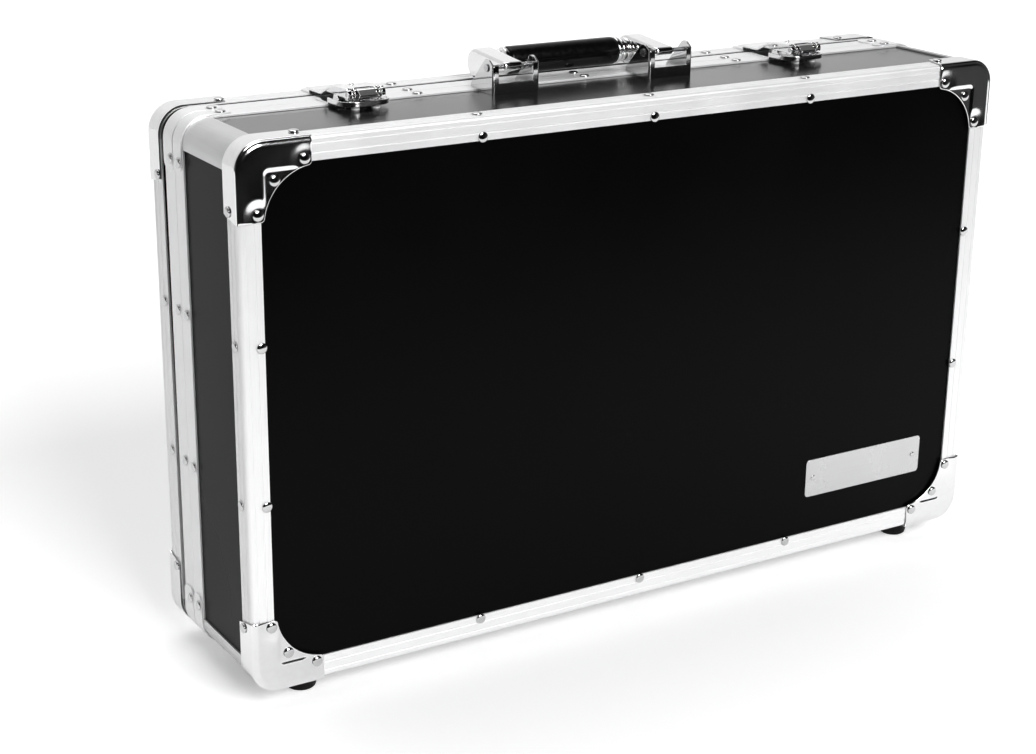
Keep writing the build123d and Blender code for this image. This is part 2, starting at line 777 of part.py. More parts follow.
for side, x in latch_places.items():
    half = pan_width / 2
    with BuildPart() as latch_base:
        with BuildSketch(plan(x, pan_rise - pan_sheet)):
            with Locations((0, (pan_front + pan_back) / 2)):
                Rectangle(pan_width, pan_back - pan_front)
            fillet(vertices().group_by(Axis.Y)[0], pan_corner)
        extrude(amount=pan_rim - pan_rise + pan_sheet)
        with BuildSketch(plan(x, pan_rise)):
            with Locations((0, (pan_front + pan_back + pan_sheet) / 2)):
                Rectangle(pan_width - 2 * pan_sheet, pan_back - pan_front - pan_sheet)
            fillet(vertices().group_by(Axis.Y)[0], pan_corner - pan_sheet)
        extrude(amount=pan_rim, mode=Mode.SUBTRACT)
        cuboid((x - half, x + half), (closure_front, pan_back), (top_z, top_z + pan_rise))
        cuboid(
            (x - half, x + half),
            (closure_front + pan_sheet, pan_back),
            (top_z + pan_sheet, top_z + pan_rim),
            Mode.SUBTRACT,
        )
        for low, high in both_ends(x, ear_gap / 2, ear_gap / 2 + ear_sheet):
            with BuildSketch(section((low + high) / 2)) as ear:
                with Locations((pivot_depth, pivot_rise)):
                    Circle(eye_radius)
                with Locations((pivot_depth, pan_sheet / 2)):
                    Rectangle(ear_root, pan_sheet)
                make_hull()
            extrude(amount=ear_sheet / 2, both=True)
        rod((x - half, x + half), pivot_depth, pivot_z, pivot_radius + running, Mode.SUBTRACT)
    save(latch_base.part, f"latch_base_{side}")

    with BuildPart() as lever:
        for low, high in both_ends(x, arm_inner, arm_outer):
            with BuildSketch(section((low + high) / 2)):
                hull(
                    (pivot_depth, pivot_rise, eye_radius),
                    (barrel_depth, barrel_rise, eye_radius),
                )
                hull(
                    (barrel_depth, barrel_rise, eye_radius),
                    (web_front, web_rise, lever_sheet / 2),
                    (web_back, web_rise, lever_sheet / 2),
                )
            extrude(amount=lever_sheet / 2, both=True)
        with BuildSketch(section(x)):
            hull((web_front, web_rise, lever_sheet / 2), (web_back, web_rise, lever_sheet / 2))
        extrude(amount=arm_inner, both=True)
        with BuildSketch(section(x)):
            hull((barrel_depth, web_rise, lever_sheet / 2), (barrel_depth, barrel_rise, barrel_radius))
            hull((lip_depth, lip_rise, lip_bead), (barrel_depth, barrel_rise, barrel_radius))
        extrude(amount=lever_knuckle / 2, both=True)
        rod((x - arm_outer, x + arm_outer), pivot_depth, pivot_z, pivot_radius + running, Mode.SUBTRACT)
        rod((x - arm_outer, x + arm_outer), barrel_depth, barrel_z, barrel_bore + running, Mode.SUBTRACT)
    save(lever.part, f"lever_{side}")

    with BuildPart() as claw:
        with BuildSketch(section(x)):
            with BuildLine():
                Polyline(
                    (barrel_depth, claw_under),
                    (claw_shoulder_depth, claw_shoulder_under),
                    (claw_lip_depth, claw_lip_under),
                    (claw_end, claw_lip_under),
                    (claw_end, claw_lip_under + claw_sheet),
                    (claw_lip_depth + claw_sheet / 2, claw_lip_under + claw_sheet),
                    (claw_shoulder_depth + claw_sheet / 2, claw_shoulder_under + claw_sheet),
                    (barrel_depth, claw_top),
                    close=True,
                )
            make_face()
        extrude(amount=claw_width / 2, both=True)
        for low, high in both_ends(x, claw_width / 2 - claw_flange, claw_width / 2):
            with BuildSketch(section((low + high) / 2)):
                with BuildLine():
                    Polyline(
                        (barrel_depth, claw_under),
                        (barrel_depth, claw_flange_rise),
                        (claw_shoulder_depth + claw_flange_back, claw_flange_rise),
                        (claw_shoulder_depth, claw_shoulder_under),
                        close=True,
                    )
                make_face()
                with Locations((barrel_depth, barrel_rise)):
                    Circle(barrel_radius)
            extrude(amount=claw_flange / 2, both=True)
        for low, high in both_ends(x, arm_inner - play, arm_outer + play):
            cuboid((low, high), (barrel_depth, notch_back), (top_z, top_z + claw_top), Mode.SUBTRACT)
        middle = (x - lever_knuckle / 2 - play, x + lever_knuckle / 2 + play)
        cuboid(middle, (barrel_depth, notch_back), (top_z, top_z + claw_top), Mode.SUBTRACT)
        for low, high in both_ends(x, lever_knuckle / 2 + play, arm_inner - play):
            rod((low, high), barrel_depth, barrel_z, barrel_radius)
        for low, high in both_ends(x, arm_outer + play, claw_width / 2):
            rod((low, high), barrel_depth, barrel_z, barrel_radius)
        with Locations(at(x, claw_rivet_depth, top_z + claw_rivet_foot - claw_sheet / 2)):
            Cone(
                claw_rivet_radius,
                claw_rivet_radius / 2,
                rivet_rise / 2 + claw_sheet / 2,
                align=(Align.CENTER, Align.CENTER, Align.MIN),
            )
        rod((x - claw_width, x + claw_width), barrel_depth, barrel_z, barrel_bore + running, Mode.SUBTRACT)
    save(claw.part, f"claw_{side}")

    with BuildPart() as barrel_pin:
        rod((x - claw_width / 2, x + claw_width / 2), barrel_depth, barrel_z, barrel_bore)
    save(barrel_pin.part, f"claw_pin_{side}")

with BuildPart() as latch_posts:
    for x in latch_places.values():
        with BuildSketch(plan(x, -board_inset)):
            with Locations((0, post_depth)):
                with GridLocations(post_pitch, 1, 2, 1):
                    Circle(post_radius)
        extrude(amount=pan_rise - pan_sheet + board_inset)
save(latch_posts.part, "latch_posts")

with BuildPart() as pivot_pins:
    reach = ear_gap / 2 + ear_sheet
    for x in latch_places.values():
        rod((x - reach, x + reach), pivot_depth, pivot_z, pivot_radius)
save(pivot_pins.part, "latch_pivot_pins")

with BuildPart() as keepers:
    for x in latch_places.values():
        half = claw_width / 2
        cuboid((x - half, x + half), (keeper_front, keeper_back), (top_z, top_z + keeper_sheet))
        fillet(edges().filter_by(Axis.Z).group_by(Axis.Y)[-1], pan_sheet + keeper_sheet)
    for x in latch_places.values():
        half = claw_width / 2
        catch_z = top_z + keeper_rise - keeper_catch
        cuboid((x - half, x + half), (keeper_front, keeper_front + keeper_sheet), (top_z, catch_z))
        rod((x - half, x + half), catch_depth, catch_z, keeper_catch)
save(keepers.part, "keepers")

# ---------------------------------------------------------------- hinges
hinge_places = (-hinge_x, hinge_x)
knuckle_pitch = hinge_length / hinge_knuckles


def hinge_leaves(outer_depth, inner_depth, parity):
    """Both leaves of one half of the hinges, with every second knuckle."""
    for x in hinge_places:
        start = x - hinge_length / 2
        level = (foot_height - hinge_sheet, foot_height)
        span = sorted((outer_depth, inner_depth))
        cuboid((start, start + hinge_length), span, level)
        for count in range(parity, hinge_knuckles, 2):
            low = start + count * knuckle_pitch + play / 2
            high = low + knuckle_pitch - play
            cuboid((low, high), sorted((inner_depth, hinge_depth)), level)
            rod((low, high), hinge_depth, hinge_z, hinge_radius)
        reach = (start, start + hinge_length)
        rod(reach, hinge_depth, hinge_z, hinge_pin + running, Mode.SUBTRACT)


with BuildPart() as base_leaves:
    hinge_leaves(shell_depth - hinge_leaf, shell_depth, 0)
    fillet(edges().filter_by(Axis.Z).group_by(Axis.Y)[0], hinge_corner)
save(base_leaves.part, "hinge_base_leaves")

with BuildPart() as lid_leaves:
    hinge_leaves(lid_front + hinge_leaf, lid_front, 1)
    fillet(edges().filter_by(Axis.Z).group_by(Axis.Y)[-1], hinge_corner)
save(lid_leaves.part, "hinge_lid_leaves")

with BuildPart() as hinge_pins:
    for x in hinge_places:
        rod((x - hinge_length / 2, x + hinge_length / 2), hinge_depth, hinge_z, hinge_pin)
save(hinge_pins.part, "hinge_pins")
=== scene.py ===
"""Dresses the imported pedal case: polished rivets and corner brackets, bright aluminium lengths, black
boards, the chrome handle and draw latches, rubber feet and the foam lining, on a pale studio floor."""

import json
from math import acos, asin, atan2, cos, pi, radians, sin, sqrt, tau

import bmesh
import bpy
from mathutils import Euler, Matrix, Vector

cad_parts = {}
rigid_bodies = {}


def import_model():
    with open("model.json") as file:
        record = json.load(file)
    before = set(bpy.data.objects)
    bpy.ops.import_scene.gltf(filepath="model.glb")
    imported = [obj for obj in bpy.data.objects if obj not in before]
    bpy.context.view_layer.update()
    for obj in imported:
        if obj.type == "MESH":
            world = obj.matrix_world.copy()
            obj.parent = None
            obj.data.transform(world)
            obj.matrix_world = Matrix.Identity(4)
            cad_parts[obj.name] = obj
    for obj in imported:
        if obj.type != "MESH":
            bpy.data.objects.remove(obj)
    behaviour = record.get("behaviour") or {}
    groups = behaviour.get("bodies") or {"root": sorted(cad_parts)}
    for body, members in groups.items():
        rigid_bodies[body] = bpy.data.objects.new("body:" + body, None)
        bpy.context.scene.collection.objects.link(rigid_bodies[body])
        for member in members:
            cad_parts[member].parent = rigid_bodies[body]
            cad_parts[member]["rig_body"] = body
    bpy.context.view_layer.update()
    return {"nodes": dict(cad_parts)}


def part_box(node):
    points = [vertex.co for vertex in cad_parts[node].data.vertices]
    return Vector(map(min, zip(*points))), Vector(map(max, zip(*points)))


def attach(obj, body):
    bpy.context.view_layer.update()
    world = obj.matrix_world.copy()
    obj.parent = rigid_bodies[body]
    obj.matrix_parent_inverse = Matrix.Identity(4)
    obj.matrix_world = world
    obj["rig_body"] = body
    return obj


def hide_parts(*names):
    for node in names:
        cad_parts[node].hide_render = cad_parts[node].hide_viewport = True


bl_info = {
    "name": "Pedal case",
    "version": (1, 0, 0),
    "blender": (4, 5, 0),
    "location": "View3D > Sidebar > Pedal case",
    "description": "Dresses the packed pedal case and sets it on a studio floor",
    "category": "Object",
}

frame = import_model()
NODES = frame["nodes"]
SLOTS = {name: node.material_slots[0].material.name.split(".")[0] for name, node in NODES.items()}
MM = 0.001
WELD = 0.003 * MM  # corners of a CAD mesh this close together are one
SIDES = ("top", "right", "bottom", "left")
HANDS = ("left", "right")

CORNER_LOW, CORNER_HIGH = (Vector(p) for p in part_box("corner_profiles"))
CASE_LOW = Vector((CORNER_LOW.x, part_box("front_edge_top")[0][1], CORNER_LOW.z))
CASE_HIGH = Vector((CORNER_HIGH.x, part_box("back_edge_top")[1][1], CORNER_HIGH.z))
CASE_MIDDLE = (CASE_LOW + CASE_HIGH) / 2


# ------------------------------------------------------------------ settings
class CaseSizes(bpy.types.PropertyGroup):
    """Sizes of what is modelled here, in metres."""

    sheet_edge: bpy.props.FloatProperty(
        name="Sheet edge", description="Rounding of the edges of pressed sheet parts",
        default=0.28 * MM, unit="LENGTH")
    profile_edge: bpy.props.FloatProperty(
        name="Profile edge", description="Rounding of the edges of the aluminium lengths",
        default=0.22 * MM, unit="LENGTH")
    seal_lip: bpy.props.FloatProperty(
        name="Seal lip", description="Depth of the seal's lip under the case's sides",
        default=0.6 * MM, unit="LENGTH")
    seal_wall: bpy.props.FloatProperty(
        name="Seal wall", description="Thickness of the seal in its groove",
        default=3.6 * MM, unit="LENGTH")
    seal_round: bpy.props.FloatProperty(
        name="Seal rounding", description="Rounding of the seal's lip", default=0.8 * MM, unit="LENGTH")
    rivet_rings: bpy.props.IntProperty(
        name="Rivet rings", description="Rings of faces from the rim of a rivet head to its crown",
        default=7)
    rivet_segments: bpy.props.IntProperty(
        name="Rivet segments", description="Faces round a rivet head", default=32)


class BracketSizes(bpy.types.PropertyGroup):
    """Sizes of the pressed corner brackets, in metres from the planes of the case's sides."""

    leg: bpy.props.FloatProperty(
        name="Leg", description="Length of each leg", default=51.0 * MM, unit="LENGTH")
    sheet: bpy.props.FloatProperty(
        name="Sheet", description="Thickness of the sheet", default=1.2 * MM, unit="LENGTH")
    corner: bpy.props.FloatProperty(
        name="Corner", description="Rounding of the case's corner", default=18.0 * MM, unit="LENGTH")
    bend: bpy.props.FloatProperty(
        name="Bend", description="Rounding where the face bends into the flange",
        default=1.6 * MM, unit="LENGTH")
    flange: bpy.props.FloatProperty(
        name="Flange", description="Depth of the flange", default=17.6 * MM, unit="LENGTH")
    slant: bpy.props.FloatProperty(
        name="Slant", description="How far the flange's end draws back over its depth",
        default=4.0 * MM, unit="LENGTH")
    arc_centre: bpy.props.FloatProperty(
        name="Arc centre", description="Middle of the inner arc, from both sides",
        default=54.5 * MM, unit="LENGTH")
    arc_radius: bpy.props.FloatProperty(
        name="Arc radius", description="Radius of the inner arc", default=36.8 * MM, unit="LENGTH")
    tip: bpy.props.FloatProperty(
        name="Tip", description="Rounding between a leg's end and the arc",
        default=3.0 * MM, unit="LENGTH")
    rise: bpy.props.FloatProperty(
        name="Rise", description="Height of the pressed band", default=0.7 * MM, unit="LENGTH")
    band_outer: bpy.props.FloatProperty(
        name="Outer step", description="Where the band begins to rise, from the outer edge",
        default=1.7 * MM, unit="LENGTH")
    band_flat: bpy.props.FloatProperty(
        name="Band flat", description="Where the band is at its height, from the outer edge",
        default=4.7 * MM, unit="LENGTH")
    band_fall: bpy.props.FloatProperty(
        name="Inner step", description="Where the band begins to fall, from the case's side",
        default=16.6 * MM, unit="LENGTH")
    band_foot: bpy.props.FloatProperty(
        name="Band foot", description="Where the band has fallen, from the case's side",
        default=19.8 * MM, unit="LENGTH")
    band_round: bpy.props.FloatProperty(
        name="Band corner", description="Rounding of the band's inner corner",
        default=3.2 * MM, unit="LENGTH")
    rivet_end: bpy.props.FloatProperty(
        name="Rivet end", description="Leg rivet, from the far side", default=46.0 * MM, unit="LENGTH")
    rivet_inset: bpy.props.FloatProperty(
        name="Rivet inset", description="Leg rivet, from the near side",
        default=13.5 * MM, unit="LENGTH")
    cone_foot: bpy.props.FloatProperty(
        name="Cone foot", description="Radius of the flat round a leg rivet",
        default=3.2 * MM, unit="LENGTH")
    cone_rim: bpy.props.FloatProperty(
        name="Cone rim", description="Radius at which the band is whole again",
        default=12.0 * MM, unit="LENGTH")
    edge: bpy.props.FloatProperty(
        name="Edge", description="Rounding of the sheet's edge", default=0.55 * MM, unit="LENGTH")
    columns: bpy.props.IntProperty(
        name="Columns", description="Faces along the bracket", default=112)
    rows: bpy.props.IntProperty(
        name="Rows", description="Faces from the arc to the outer step", default=46)
    strips: bpy.props.IntProperty(
        name="Strips", description="Faces across the outer step", default=9)


class HandleSizes(bpy.types.PropertyGroup):
    """Sizes of the handle's turned and cast parts, in metres."""

    knuckle: bpy.props.FloatProperty(
        name="Knuckle", description="Radius of a shoulder round its pin", default=2.9 * MM, unit="LENGTH")
    boss: bpy.props.FloatProperty(
        name="Boss", description="Radius of a shoulder round the grip's core",
        default=10.4 * MM, unit="LENGTH")
    boss_edge: bpy.props.FloatProperty(
        name="Boss edge", description="Rounding of a shoulder's edges", default=2.0 * MM, unit="LENGTH")
    core: bpy.props.FloatProperty(
        name="Core", description="Radius of the bore for the core", default=4.1 * MM, unit="LENGTH")
    grip_edge: bpy.props.FloatProperty(
        name="Grip edge", description="Rounding of the grip's ends", default=2.6 * MM, unit="LENGTH")
    ferrule: bpy.props.FloatProperty(
        name="Ferrule", description="Length of a ferrule", default=10.0 * MM, unit="LENGTH")
    ferrule_edge: bpy.props.FloatProperty(
        name="Ferrule edge", description="Rounding of a ferrule's rings",
        default=0.6 * MM, unit="LENGTH")
    neck: bpy.props.FloatProperty(
        name="Neck", description="Radius of a ferrule between its rings",
        default=6.6 * MM, unit="LENGTH")


class CaseColours(bpy.types.PropertyGroup):
    """Base colours of the finishes."""

    front_board: bpy.props.FloatVectorProperty(
        name="Front board", description="Black laminate of the front and back boards",
        subtype="COLOR", default=(0.0007, 0.0007, 0.00075))
    side_board: bpy.props.FloatVectorProperty(
        name="Side board", description="Dark grey laminate of the side boards",
        subtype="COLOR", default=(0.0082, 0.0082, 0.0084))
    aluminium: bpy.props.FloatVectorProperty(
        name="Aluminium", description="Bright anodised lengths", subtype="COLOR",
        default=(0.95, 0.95, 0.955))
    corner_aluminium: bpy.props.FloatVectorProperty(
        name="Corner aluminium", description="Satin corner profiles", subtype="COLOR",
        default=(0.66, 0.66, 0.665))
    nickel: bpy.props.FloatVectorProperty(
        name="Nickel", description="Polished plate of the corner brackets", subtype="COLOR",
        default=(0.90, 0.90, 0.905))
    chrome: bpy.props.FloatVectorProperty(
        name="Chrome", description="Plate of the handle and latches", subtype="COLOR",
        default=(0.93, 0.93, 0.935))
    steel: bpy.props.FloatVectorProperty(
        name="Steel", description="Pins and hinge leaves", subtype="COLOR", default=(0.66, 0.66, 0.67))
    grip: bpy.props.FloatVectorProperty(
        name="Grip", description="Black moulded grip", subtype="COLOR", default=(0.0025, 0.0025, 0.0026))
    rubber: bpy.props.FloatVectorProperty(
        name="Rubber", description="Feet and seal", subtype="COLOR", default=(0.004, 0.004, 0.004))
    foam: bpy.props.FloatVectorProperty(
        name="Foam", description="Lining", subtype="COLOR", default=(0.03, 0.03, 0.032))
    plate: bpy.props.FloatVectorProperty(
        name="Plate", description="Blank name plate", subtype="COLOR", default=(0.66, 0.66, 0.665))


# ------------------------------------------------------------------ material building blocks
def wired(tree, kind, inputs):
    """A new node whose named or numbered inputs are linked."""
    node = tree.nodes.new(kind)
    for socket, source in inputs.items():
        tree.links.new(source, node.inputs[socket])
    return node


def worked_out(tree, operation, *values):
    """One value worked out from others."""
    step = tree.nodes.new("ShaderNodeMath")
    step.operation = operation
    for socket, value in zip(step.inputs, values):
        tree.links.new(value, socket)
    return step.outputs["Value"]


def split_up(tree, vector):
    """The three parts of a vector."""
    parts = wired(tree, "ShaderNodeSeparateXYZ", {"Vector": vector})
    return [parts.outputs[axis] for axis in "XYZ"]


def node_material(name):
    """An empty node material with its surface shader and object coordinates."""
    material = bpy.data.materials.new(name)
    material.use_nodes = True
    tree = material.node_tree
    shader = tree.nodes["Principled BSDF"]
    coordinates = tree.nodes.new("ShaderNodeTexCoord")
    return material, tree, shader, coordinates.outputs["Object"]


def stretched(tree, coordinates, scale):
    """Object coordinates scaled apart along each axis."""
    mapping = wired(tree, "ShaderNodeMapping", {"Vector": coordinates})
    mapping.inputs["Scale"].default_value = scale
    return mapping.outputs["Vector"]


def noise(tree, vector, scale, detail=2.0, roughness=0.5):
    """A noise value from 0 to 1."""
    texture = wired(tree, "ShaderNodeTexNoise", {"Vector": vector})
    texture.inputs["Scale"].default_value = scale
    texture.inputs["Detail"].default_value = detail
    texture.inputs["Roughness"].default_value = roughness
    return texture.outputs["Fac"]


def ramp(tree, value, low, high, from_low=0.0, from_high=1.0):
    """A value carried from one range to another, held at the ends."""
    span = wired(tree, "ShaderNodeMapRange", {"Value": value})
    span.inputs["From Min"].default_value = from_low
    span.inputs["From Max"].default_value = from_high
    span.inputs["To Min"].default_value = low
    span.inputs["To Max"].default_value = high
    return span.outputs["Result"]


def tinted(tree, value, dark, light):
    """A colour between two, each a fixed one or a node's output, by a value from 0 to 1."""
    mix = tree.nodes.new("ShaderNodeMix")
    mix.data_type = "RGBA"
    for end, colour in (("A", dark), ("B", light)):
        if isinstance(colour, tuple):
            mix.inputs[end].default_value = (*colour, 1.0)
        else:
            tree.links.new(colour, mix.inputs[end])
    tree.links.new(value, mix.inputs["Factor"])
    return mix.outputs["Result"]


def shade(colour, factor):
    """A colour made darker or lighter."""
    return tuple(min(1.0, channel * factor) for channel in colour)


def bumped(tree, shader, value, strength, distance):
    """Gives a surface relief from a value."""
    bump = wired(tree, "ShaderNodeBump", {"Height": value})
    bump.inputs["Strength"].default_value = strength
    bump.inputs["Distance"].default_value = distance
    tree.links.new(bump.outputs["Normal"], shader.inputs["Normal"])


def metal(name, colour, roughness, grain_scale, stretch, relief=0.05, spread=0.06, share=1.0):
    """Metal with a grain drawn out along one axis, slight smudges and a little relief."""
    material, tree, shader, coordinates = node_material(name)
    grain = noise(tree, stretched(tree, coordinates, stretch), grain_scale, 3.0)
    smudge = noise(tree, coordinates, 38.0, 3.0)
    tree.links.new(tinted(tree, grain, shade(colour, 0.94), shade(colour, 1.03)),
                   shader.inputs["Base Color"])
    tree.links.new(ramp(tree, smudge, roughness - spread, roughness + spread, 0.3, 0.7),
                   shader.inputs["Roughness"])
    bumped(tree, shader, grain, relief, 0.05 * MM)
    shader.inputs["Metallic"].default_value = share
    return material


def laminate(name, colour, roughness, specular, fleck):
    """Board laminate: a fine pebbled skin with a few pale flecks of dust."""
    material, tree, shader, coordinates = node_material(name)
    pebble = noise(tree, coordinates, 900.0, 2.0)
    drift = noise(tree, coordinates, 9.0, 2.0)
    specks = noise(tree, coordinates, 520.0, 1.0)
    dust = ramp(tree, specks, 0.0, 1.0, 0.76, 0.84)
    base = tinted(tree, drift, shade(colour, 0.9), shade(colour, 1.12))
    tree.links.new(tinted(tree, dust, base, shade(colour, fleck)), shader.inputs["Base Color"])
    tree.links.new(ramp(tree, drift, roughness - 0.03, roughness + 0.05, 0.3, 0.7),
                   shader.inputs["Roughness"])
    bumped(tree, shader, pebble, 0.06, 0.04 * MM)
    shader.inputs["Specular IOR Level"].default_value = specular
    return material


def soft_solid(name, colour, roughness, grain_scale, relief, specular=0.4, bending=1.5):
    """Rubber or foam: a matte mottled surface."""
    material, tree, shader, coordinates = node_material(name)
    grain = noise(tree, coordinates, grain_scale, 4.0, 0.6)
    tree.links.new(tinted(tree, grain, shade(colour, 0.7), shade(colour, 1.4)),
                   shader.inputs["Base Color"])
    tree.links.new(ramp(tree, grain, roughness - 0.08, roughness + 0.08, 0.3, 0.7),
                   shader.inputs["Roughness"])
    bumped(tree, shader, grain, relief, 0.15 * MM)
    shader.inputs["Specular IOR Level"].default_value = specular
    shader.inputs["IOR"].default_value = bending
    return material


FINISHES = {}


def make_finishes(colours):
    """All the finishes, by the material slot that each belongs to."""
    along_x = (0.02, 1.0, 1.0)
    along_z = (1.0, 1.0, 0.02)
    even = (1.0, 1.0, 1.0)
    FINISHES.update({
        "front_laminate": laminate("front_laminate", colours.front_board, 0.30, 0.055, 9.0),
        # Painted shade: the flat boards' copy of the side laminate is painted darker than the upright
        # boards' copy.
        "side_laminate": laminate("side_laminate", shade(colours.side_board, 0.35), 0.18, 1.0, 2.0),
        "side_laminate.upright": laminate(
            "side_laminate_upright", colours.side_board, 0.24, 0.045, 2.0),
        "edge_aluminium": metal(
            "edge_aluminium", colours.aluminium, 0.46, 1300.0, along_x, 0.08, 0.05, 0.5),
        "edge_aluminium.upright": metal(
            "edge_aluminium_upright", colours.aluminium, 0.46, 1300.0, along_z, 0.08, 0.05, 0.5),
        "closure_aluminium": metal(
            "closure_aluminium", colours.aluminium, 0.42, 1300.0, along_x, 0.08, 0.05, 0.6),
        "closure_aluminium.upright": metal(
            "closure_aluminium_upright", colours.aluminium, 0.42, 1300.0, along_z, 0.08, 0.05, 0.6),
        "corner_aluminium": metal(
            "corner_aluminium", colours.corner_aluminium, 0.38, 700.0, (1.0, 0.05, 1.0), 0.08),
        "bracket_steel": metal("bracket_steel", colours.nickel, 0.12, 260.0, even, 0.02, 0.035),
        # Painted shade: the rivet heads are painted darker than the brackets' nickel, standing in for
        # their shaded outlines.
        "rivet_steel": metal("rivet_steel", shade(colours.nickel, 0.72), 0.10, 700.0, even, 0.03, 0.02),
        "hardware_chrome": metal("hardware_chrome", colours.chrome, 0.055, 320.0, even, 0.02, 0.012),
        # Painted shade: the handle brackets get a copy of the chrome painted darker, so that their fronts
        # read black.
        **{f"handle_bracket_{side}": metal(
            f"yoke_chrome_{side}", shade(colours.chrome, 0.78), 0.05, 320.0, even, 0.02, 0.01)
           for side in HANDS},
        # Painted light: the latch posts get a brighter, non-metal copy of the aluminium, so that they read
        # white under the pan.
        "latch_posts": metal(
            "post_satin_brightened", shade(colours.aluminium, 1.04), 0.42, 700.0, even, 0.05, 0.05, 0.0),
        # Painted light: the shoulders get a copy of the chrome painted lighter than the rest of the
        # chrome.
        "shoulder_chrome": metal(
            "shoulder_chrome", shade(colours.chrome, 1.045), 0.08, 300.0, even, 0.02, 0.02),
        "pin_steel": metal("pin_steel", colours.steel, 0.26, 1500.0, (0.03, 1.0, 1.0), 0.10),
        "hinge_steel": metal("hinge_steel", colours.steel, 0.30, 1100.0, along_x, 0.10),
        "plate_silver": metal("plate_silver", colours.plate, 0.30, 1700.0, (0.012, 1.0, 1.0), 0.25, 0.05),
        # Painted shade: the seal is painted darker than the feet's rubber and given almost no reflection,
        # so that the seam reads as shade.
        "seal_rubber": soft_solid(
            "seal_rubber", shade(colours.rubber, 0.4), 0.70, 1200.0, 0.25, 0.03, 1.05),
        "foot_rubber": soft_solid("foot_rubber", colours.rubber, 0.55, 900.0, 0.20, 0.12),
        "foam": soft_solid("foam", colours.foam, 0.92, 1600.0, 0.8, 0.15),
        "grip_black": soft_solid("grip_black", colours.grip, 0.20, 260.0, 0.03, 0.18),
    })


def finish_of(node):
    """The finish of a node, with its grain along the piece."""
    name = node if node in FINISHES else SLOTS[node]
    if (node.endswith(HANDS) or node.startswith(HANDS)) and name + ".upright" in FINISHES:
        name += ".upright"
    return FINISHES[name]


# ------------------------------------------------------------------ mesh building blocks
def new_object(name, mesh):
    """Links a new object that holds a mesh."""
    piece = bpy.data.objects.new(name, mesh)
    bpy.context.scene.collection.objects.link(piece)
    return piece


def smoothed(mesh, angle=38.0):
    """Smooth shading with crisp edges where faces meet at more than an angle."""
    mesh.shade_smooth()
    mesh.set_sharp_from_angle(angle=radians(angle))


def meshed(form, name):
    """The mesh of a form, which is used up."""
    mesh = bpy.data.meshes.new(name)
    form.to_mesh(mesh)
    form.free()
    return mesh


def closed_piece(form, name, material):
    """A smooth object from a closed form, in one finish and with its faces outwards."""
    bmesh.ops.recalc_face_normals(form, faces=form.faces)
    mesh = meshed(form, name)
    mesh.materials.append(material)
    smoothed(mesh)
    return new_object(name, mesh)


def bridged(form, near, far):
    """Faces between two closed loops of points; a loop of one point is a pole."""
    count = max(len(near), len(far))
    for i in range(count):
        j = (i + 1) % count
        corners = [loop[k % len(loop)] for loop, k in ((near, i), (near, j), (far, j), (far, i))]
        corners = list(dict.fromkeys(corners))
        if len(corners) > 2:
            form.faces.new(corners)


def baked(piece):
    """Turns what a piece's modifiers make into its mesh."""
    graph = bpy.context.evaluated_depsgraph_get()
    mesh = bpy.data.meshes.new_from_object(piece.evaluated_get(graph), depsgraph=graph)
    piece.modifiers.clear()
    piece.data = mesh
    return mesh


def in_place_of(node, piece):
    """Sets a piece on the body of a node and lets it stand for the node."""
    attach(piece, NODES[node]["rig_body"])
    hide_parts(node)
    return piece


def coated(mesh, material):
    """Gives a mesh one finish in place of those that it has."""
    mesh.materials.clear()
    mesh.materials.append(material)


def welded(node):
    """A form of a node's mesh, with its loose triangles joined up."""
    form = bmesh.new()
    form.from_mesh(NODES[node].data)
    bmesh.ops.remove_doubles(form, verts=form.verts, dist=WELD)
    return form


def softened(node, width, steps=3):
    """A copy of a node with its sharp edges rounded, in the node's own place."""
    form = welded(node)
    bmesh.ops.dissolve_limit(form, angle_limit=radians(0.4), verts=form.verts, edges=form.edges)
    mesh = meshed(form, f"{node}_soft")
    piece = new_object(f"{node}_soft", mesh)
    smoothed(mesh)
    edges = piece.modifiers.new("edges", "BEVEL")
    edges.width = width
    edges.segments = steps
    edges.limit_method = "ANGLE"
    edges.angle_limit = radians(33.0)
    edges.use_clamp_overlap = False
    edges.miter_outer = "MITER_ARC"
    flats = piece.modifiers.new("flats", "WEIGHTED_NORMAL")
    flats.keep_sharp = False
    coated(baked(piece), finish_of(node))
    return in_place_of(node, piece)


def lathed(name, profile, middle, axis, segments, material):
    """A turned solid: (radius, height) pairs spun about an axis through a point."""
    on_axis = 1e-7
    form = bmesh.new()
    turn = Vector((0, 0, 1)).rotation_difference(Vector(axis)).to_matrix().to_4x4()
    to_place = Matrix.Translation(Vector(middle)) @ turn
    rings = []
    for radius, height in profile:
        if radius < on_axis:
            rings.append([form.verts.new(to_place @ Vector((0, 0, height)))])
            continue
        rings.append([
            form.verts.new(to_place @ Vector((radius * cos(tau * i / segments),
                                              radius * sin(tau * i / segments), height)))
            for i in range(segments)
        ])
    for near, far in zip(rings, rings[1:]):
        bridged(form, near, far)
    return closed_piece(form, name, material)


def arc(middle_radius, middle_height, radius, start, stop, steps):
    """Points of a rounding in a turned profile, by angles in degrees from the outward direction."""
    return [
        (middle_radius + radius * cos(radians(start + (stop - start) * i / steps)),
         middle_height + radius * sin(radians(start + (stop - start) * i / steps)))
        for i in range(steps + 1)
    ]


def joined(name, pieces):
    """Joins pieces into one mesh under a name."""
    form = bmesh.new()
    for piece in pieces:
        form.from_mesh(piece.data)
    mesh = meshed(form, name)
    for material in pieces[0].data.materials:
        mesh.materials.append(material)
    for piece in pieces:
        bpy.data.objects.remove(piece)
    smoothed(mesh)
    return new_object(name, mesh)


